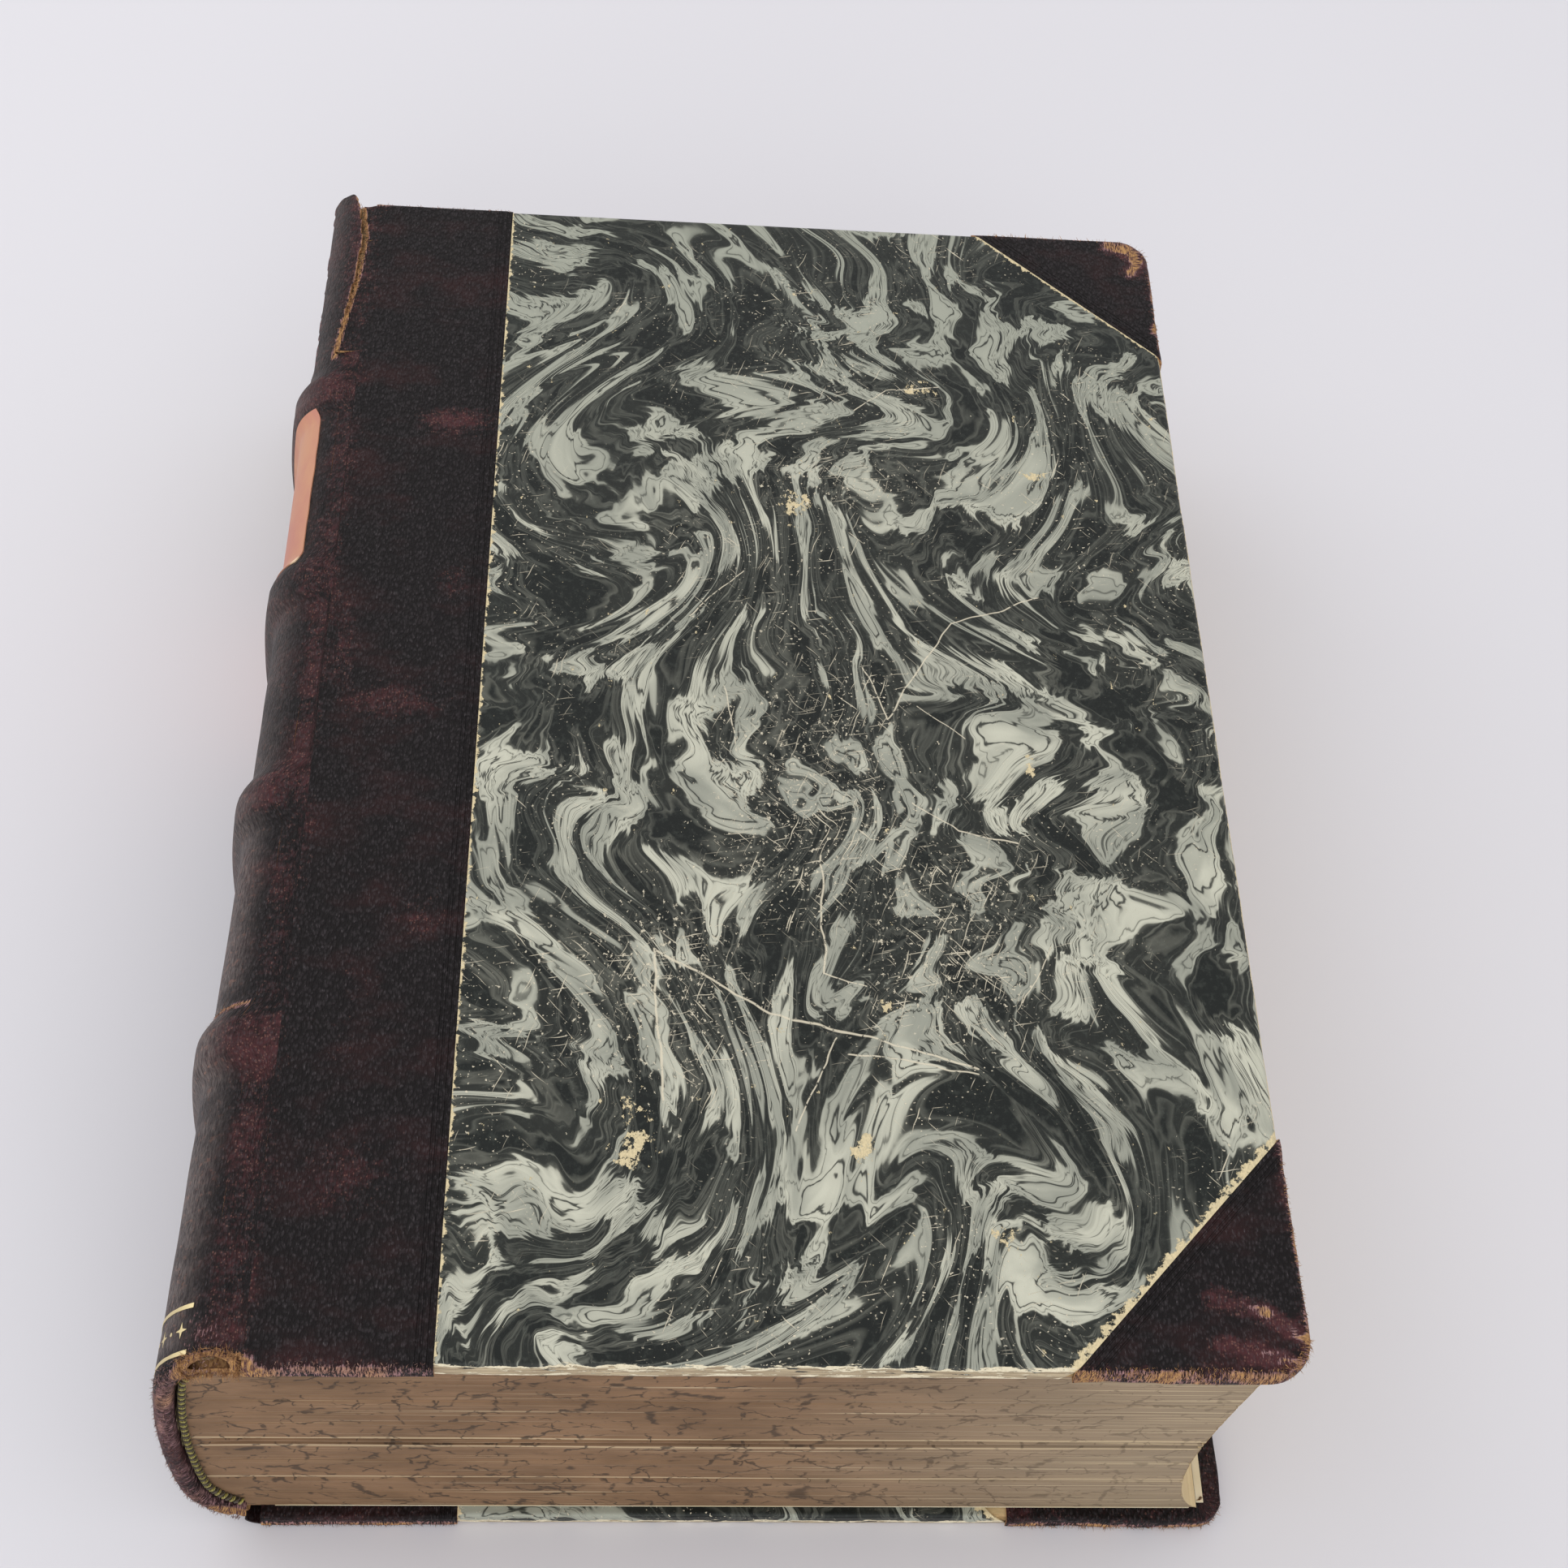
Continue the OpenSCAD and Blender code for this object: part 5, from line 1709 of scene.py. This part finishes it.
    def lining(self):
        us = spine_columns(0.8, 1.0, 3.99)
        ys = merged(lines(BLOCK_LOW[1], 70, 4.0), lines(70, BLOCK_HIGH[1], 0.8))
        u, y = np.meshgrid(us, ys)
        point = spine_point(u, y, depth=LINING_DEPTH)
        cells = np.column_stack([girth_at(u).ravel(), y.ravel()])
        folds = np.abs(ripple(cells, (1.7, 60, 1), 3)) - 0.3
        glue = ripple(cells, 3.0, 8)
        point[..., 0] += (0.18 * folds + 0.1 * glue).reshape(u.shape)
        lining = make_piece("spine_lining_cloth", point.reshape(-1, 3), grid_faces(*u.shape),
                            [mull_cloth()], "book_block", ["spine_lining"])
        thicken(lining, CLOTH_T)


class Fibres:
    """Loose ends of torn leather: thin blades that are collected into one mesh."""

    def __init__(self, seed):
        self.random = np.random.RandomState(seed)
        self.points, self.faces, self.stains = [], [], []

    def grow(self, roots, normals, along, length, stain=0.0):
        """A blade from each root, leaning from its normal along the surface's slope."""
        width, spread = 0.11, 0.7
        count = len(roots)
        noise_way = self.random.normal(size=(count, 3))
        way = 0.45 * normals + 0.75 * along + spread * noise_way / 1.7
        way /= np.linalg.norm(way, axis=1)[:, None]
        side = np.cross(way, self.random.normal(size=(count, 3)))
        side /= np.linalg.norm(side, axis=1)[:, None]
        droop = 0.35 * self.random.normal(size=(count, 3))
        size = length * self.random.uniform(0.4, 1.3, count)[:, None]
        half = width * self.random.uniform(0.6, 1.2, count)[:, None] / 2
        start = sum(len(p) for p in self.points)
        for share, taper in ((-0.15, 1.0), (0.5, 0.8), (1.0, 0.15)):
            middle = roots + size * (share * way + share * share * 0.5 * droop)
            self.points += [middle - half * taper * side, middle + half * taper * side]
            self.stains += [np.full(count, stain)] * 2
        for i in range(count):
            a = start + i
            for k in (0, 2):
                low, high = a + k * count, a + (k + 2) * count
                self.faces.append((low, low + count, high + count, high))

    def finished(self, name, material, body):
        make_piece(name, np.concatenate(self.points), self.faces, [material], body,
                   marks={"stained": np.concatenate(self.stains)})


class BOOK_OT_fibres(BookOperator, bpy.types.Operator):
    """Frays the worn edges of the leather into fibres"""

    bl_idname = "book.fibres"
    bl_label = "Frayed leather"

    def execute(self, context):
        sizes = context.scene.book_sizes
        colours = context.scene.book_colours
        self.per_mm = sizes.fibre_count
        self.sink = sizes.spine_sink
        flesh = self.leathers(colours)[1]
        for number, cover in enumerate(self.covers(context)):
            fibres = Fibres(11 + number)
            self.cover_edges(fibres, cover)
            if cover.side == "front":
                self.split_edge(fibres, cover)
            fibres.finished(f"{cover.side}_cover_fibres", flesh, cover.body)
        fibres = Fibres(31)
        self.spine_edges(fibres)
        fibres.finished("spine_fibres", flesh, "book_block")
        return {"FINISHED"}

    def on_cover(self, fibres, cover, flat, length, rough, stain=0.0):
        """Blades on the folded leather at flat places."""
        past, out = cover.over_edge(flat)
        points, _ = cover.folded(flat, rough)
        turn = np.clip(past / cover.arris, 0, math.pi / 2)
        up = np.array([0.0, 0.0, -cover.inward])
        out = np.column_stack([out, np.zeros(len(out))])
        normals = out * np.sin(turn)[:, None] + up * np.cos(turn)[:, None]
        along = out * np.cos(turn)[:, None] - up * np.sin(turn)[:, None]
        fibres.grow(points, normals, along, length, stain)

    def cover_edges(self, fibres, cover):
        draw = fibres.random
        e_top = 2.4 if cover.side == "front" else 1.6
        for end, share in ((-1, 1.0), (1, 0.6)):
            count = int(self.per_mm * cover.side_w * share * 1.3)
            x = cover.x0 + draw.uniform(0.2, cover.side_w - 0.5, count)
            e = draw.uniform(0.1, e_top, count)
            flat = np.column_stack([x, end * (HALF_H - cover.arris + e)])
            self.on_cover(fibres, cover, flat, 0.5, SIDE_ROUGH, 0.7)
        for end, leg, fray in ((-1, TAIL_LEG, 1.0), (1, HEAD_LEG, 0.35)):
            radius = cover.corner_r
            cx, cy = cover.x1 - radius, HALF_H - radius
            inner_r = radius - cover.arris
            count = int(self.per_mm * CORNER_LEG * 1.2 * fray)
            x = draw.uniform(cover.x1 - CORNER_LEG + 3, cx, count)
            y = cy + inner_r + draw.uniform(0.0, e_top, count)
            self.on_cover(fibres, cover, np.column_stack([x, end * y]), 0.75, CORNER_ROUGH)
            count = int(self.per_mm * leg * 0.8 * fray)
            y = draw.uniform(HALF_H - leg + 3, cy, count)
            x = cx + inner_r + draw.uniform(0.3, e_top, count)
            self.on_cover(fibres, cover, np.column_stack([x, end * y]), 0.5, CORNER_ROUGH)
            count = int(self.per_mm * radius * 3 * fray)
            angle = draw.uniform(0, math.pi / 2, count)
            far = inner_r + draw.uniform(-0.3, e_top, count)
            flat = np.column_stack([cx + far * np.cos(angle), end * (cy + far * np.sin(angle))])
            self.on_cover(fibres, cover, flat, 0.8, CORNER_ROUGH)

    def split_edge(self, fibres, cover):
        draw = fibres.random
        t = draw.uniform(207, BOARD_H - 1, int(self.per_mm * 42))
        x = cover.x0 + split_x(t) + draw.uniform(0.1, 0.9, len(t))
        flat = np.column_stack([x, TAIL_Y + t])
        points, _ = cover.folded(flat, SIDE_ROUGH)
        points[:, 2] += shoulder_drop(x)
        normals = np.tile((0.0, 0.0, 1.0), (len(t), 1))
        fibres.grow(points, normals, np.tile((-0.6, -0.6, -0.3), (len(t), 1)), 0.9)

    def on_spine(self, fibres, u, t, along, length, stain=0.0):
        points = headcap_point(u, t, self.sink)
        inner = spine_point(u, TAIL_Y + np.maximum(t, HEADCAP_R), depth=1.0, sink=self.sink,
                            lift=band_lift(TAIL_Y + t))
        normals = points - inner
        normals[:, 1] -= np.maximum(HEADCAP_R - t, 0)
        normals /= np.linalg.norm(normals, axis=1)[:, None]
        fibres.grow(points, normals, np.tile(along, (len(u), 1)), length, stain)

    def spine_edges(self, fibres):
        draw = fibres.random
        count = self.per_mm * 130
        u = draw.uniform(1.0, 3.95, count)
        t = draw.uniform(-1.6, 2.2, count)
        self.on_spine(fibres, u, t, (0.0, -0.5, 0.0), 0.5, 0.85)
        angle = draw.uniform(0, 2 * math.pi, self.per_mm * 80)
        x = HOLE_X + HOLE_W * np.cos(angle) * draw.uniform(1.0, 1.6, len(angle))
        t = HOLE_T + HOLE_H * np.sin(angle) * draw.uniform(1.05, 2.2, len(angle))
        u = np.interp(-x, (0, 3.5, 6.0, 8.0), (0, 1.0, 1.2, 1.4))
        self.on_spine(fibres, np.maximum(u, 0.15), np.clip(t, -1.2, 5), (0.1, -0.3, 0.0), 1.1)
        crease = BAND_YS[0] + BAND_W / 2
        t = draw.uniform(crease - 2.2, crease - 0.8, self.per_mm * 12) - TAIL_Y
        self.on_spine(fibres, draw.uniform(1.3, 2.4, len(t)), t, (0.0, -0.4, 0.0), 0.5)


class BOOK_OT_label(BookOperator, bpy.types.Operator):
    """Pastes the title label on the spine"""

    bl_idname = "book.label"
    bl_label = "Title label"

    start_u, end_u = 1.44, 3.62

    def execute(self, context):
        sink = context.scene.book_sizes.spine_sink
        colours = context.scene.book_colours
        us = spine_columns(0.6, self.start_u, self.end_u)
        ys = lines(LABEL_LOW[1], LABEL_HIGH[1], 0.55)
        u, y = np.meshgrid(us, ys)
        cells = np.column_stack([girth_at(u).ravel(), y.ravel()])
        wobble = (0.02 * ripple(cells, 5.0, 3)).reshape(u.shape)
        u = u + wobble * (1 - np.clip((u - self.start_u) * 2, 0, 1))
        point = raised(u, y, 0.22, sink, band_lift(y))
        flat = laid_out(u, y)
        low = rise(np.hypot(u - self.start_u, (y - LABEL_LOW[1]) / 12), 0.35, 0.0)
        rim = np.minimum.reduce([y - ys[0], ys[-1] - y, girth_at(u) - girth_at(self.start_u)])
        wear = np.maximum(0.9 * low, 0.55 * rise(rim, 1.2, 0.0))
        label = make_piece("title_label_faded", point.reshape(-1, 3), grid_faces(*u.shape),
                           [label_leather(colours)], "book_block", ["title_label"],
                           {"sheet": flat, "wear": wear.ravel()})
        thicken(label, LABEL_T)
        return {"FINISHED"}


class BOOK_OT_gold_lines(BookOperator, bpy.types.Operator):
    """Lays two lines of gold leaf near the tail of the spine, and a row of stars between them"""

    bl_idname = "book.gold_lines"
    bl_label = "Gold lines"

    start_u, end_u = 1.34, 3.6
    half_w = 0.33
    # How far the gold stands out from the leather
    leaf_h = 0.05
    # The stars between the lines: their reach, from one to the next, and the dots' radius
    star_r, star_step, dot_r = 1.3, 4.2, 0.34

    def execute(self, context):
        sink = context.scene.book_sizes.spine_sink
        material = gold_leaf(context.scene.book_colours)
        for name in ("low_gold_line", "high_gold_line"):
            low, high = box_mm(name)
            middle = (low[1] + high[1]) / 2
            us = spine_columns(0.5, self.start_u, self.end_u)
            across = np.linspace(-1, 1, 5)
            u, s = np.meshgrid(us, across)
            width = self.half_w * (1 + 0.25 * ripple(np.column_stack([girth_at(us), us * 0]), 1.2, 4))
            y = middle + s * width[None, :]
            point = raised(u, y, self.leaf_h, sink)
            cells = np.column_stack([girth_at(u).ravel(), (y - TAIL_Y).ravel()])
            point[..., 0] -= 0.12 * np.maximum(ripple(cells, 9.0, 2).reshape(u.shape), 0)
            flat = np.column_stack([cells, np.zeros(u.size)])
            line = make_piece(name + "_leaf", point.reshape(-1, 3), grid_faces(*u.shape), [material],
                              "book_block", [name], {"sheet": flat})
            thicken(line, GOLD_LINE_T)
        self.stars(material, sink)
        return {"FINISHED"}

    def stars(self, material, sink):
        """A row of small four-pointed stars of gold with dots between them."""
        low, high = box_mm("low_gold_line"), box_mm("high_gold_line")
        middle = (low[0][1] + high[1][1]) / 2
        start, end = girth_at(self.start_u) + 1.6, girth_at(self.end_u) - 1.6
        corners = 8
        turn = np.linspace(0, 2 * math.pi, corners, endpoint=False)
        reach = np.where(np.arange(corners) % 2 == 0, self.star_r, 0.3 * self.star_r)
        points, faces, count = [], [], 0
        for k, x in enumerate(lines(start, end, self.star_step / 2)):
            size = reach if k % 2 == 0 else np.full(corners, self.dot_r)
            ring = np.column_stack([x + 0.8 * size * np.cos(turn), middle - size * np.sin(turn)])
            points.append(np.vstack([ring, [[x, middle]]]))
            faces += [(count + corners, count + i, count + (i + 1) % corners) for i in range(corners)]
            count += corners + 1
        flat = np.concatenate(points)
        girths = np.array([girth_at(k) for k in range(5)], float)
        u = np.interp(flat[:, 0], girths, np.arange(5))
        point = raised(u, flat[:, 1], self.leaf_h, sink)
        marks = {"sheet": np.column_stack([flat[:, 0], flat[:, 1] - TAIL_Y, np.zeros(len(flat))])}
        piece = make_piece("gold_star_leaf", point, faces, [material], "book_block",
                           marks=marks)
        thicken(piece, GOLD_STAR_T)


OPERATORS = (
    BOOK_OT_stage,
    BOOK_OT_boards,
    BOOK_OT_leather_sides,
    BOOK_OT_corners,
    BOOK_OT_paper_sides,
    BOOK_OT_endpapers,
    BOOK_OT_text_block,
    BOOK_OT_headbands,
    BOOK_OT_spine_inside,
    BOOK_OT_spine,
    BOOK_OT_fibres,
    BOOK_OT_label,
    BOOK_OT_gold_lines,
)


class BOOK_PT_panel(bpy.types.Panel):
    bl_label = "Antique book"
    bl_idname = "BOOK_PT_panel"
    bl_space_type = "VIEW_3D"
    bl_region_type = "UI"
    bl_category = "Book"

    def draw(self, context):
        for operator in OPERATORS:
            self.layout.operator(operator.bl_idname)


CLASSES = (BookSizes, BookColours, StageSettings, *OPERATORS, BOOK_PT_panel)


def register():
    for cls in CLASSES:
        bpy.utils.register_class(cls)
    bpy.types.Scene.book_sizes = PointerProperty(type=BookSizes)
    bpy.types.Scene.book_colours = PointerProperty(type=BookColours)
    bpy.types.Scene.book_stage = PointerProperty(type=StageSettings)


def unregister():
    del bpy.types.Scene.book_stage
    del bpy.types.Scene.book_colours
    del bpy.types.Scene.book_sizes
    for cls in reversed(CLASSES):
        bpy.utils.unregister_class(cls)


def main():
    register()
    for operator in OPERATORS:
        group, name = operator.bl_idname.split(".")
        getattr(getattr(bpy.ops, group), name)()


if __name__ == "__main__":
    main()
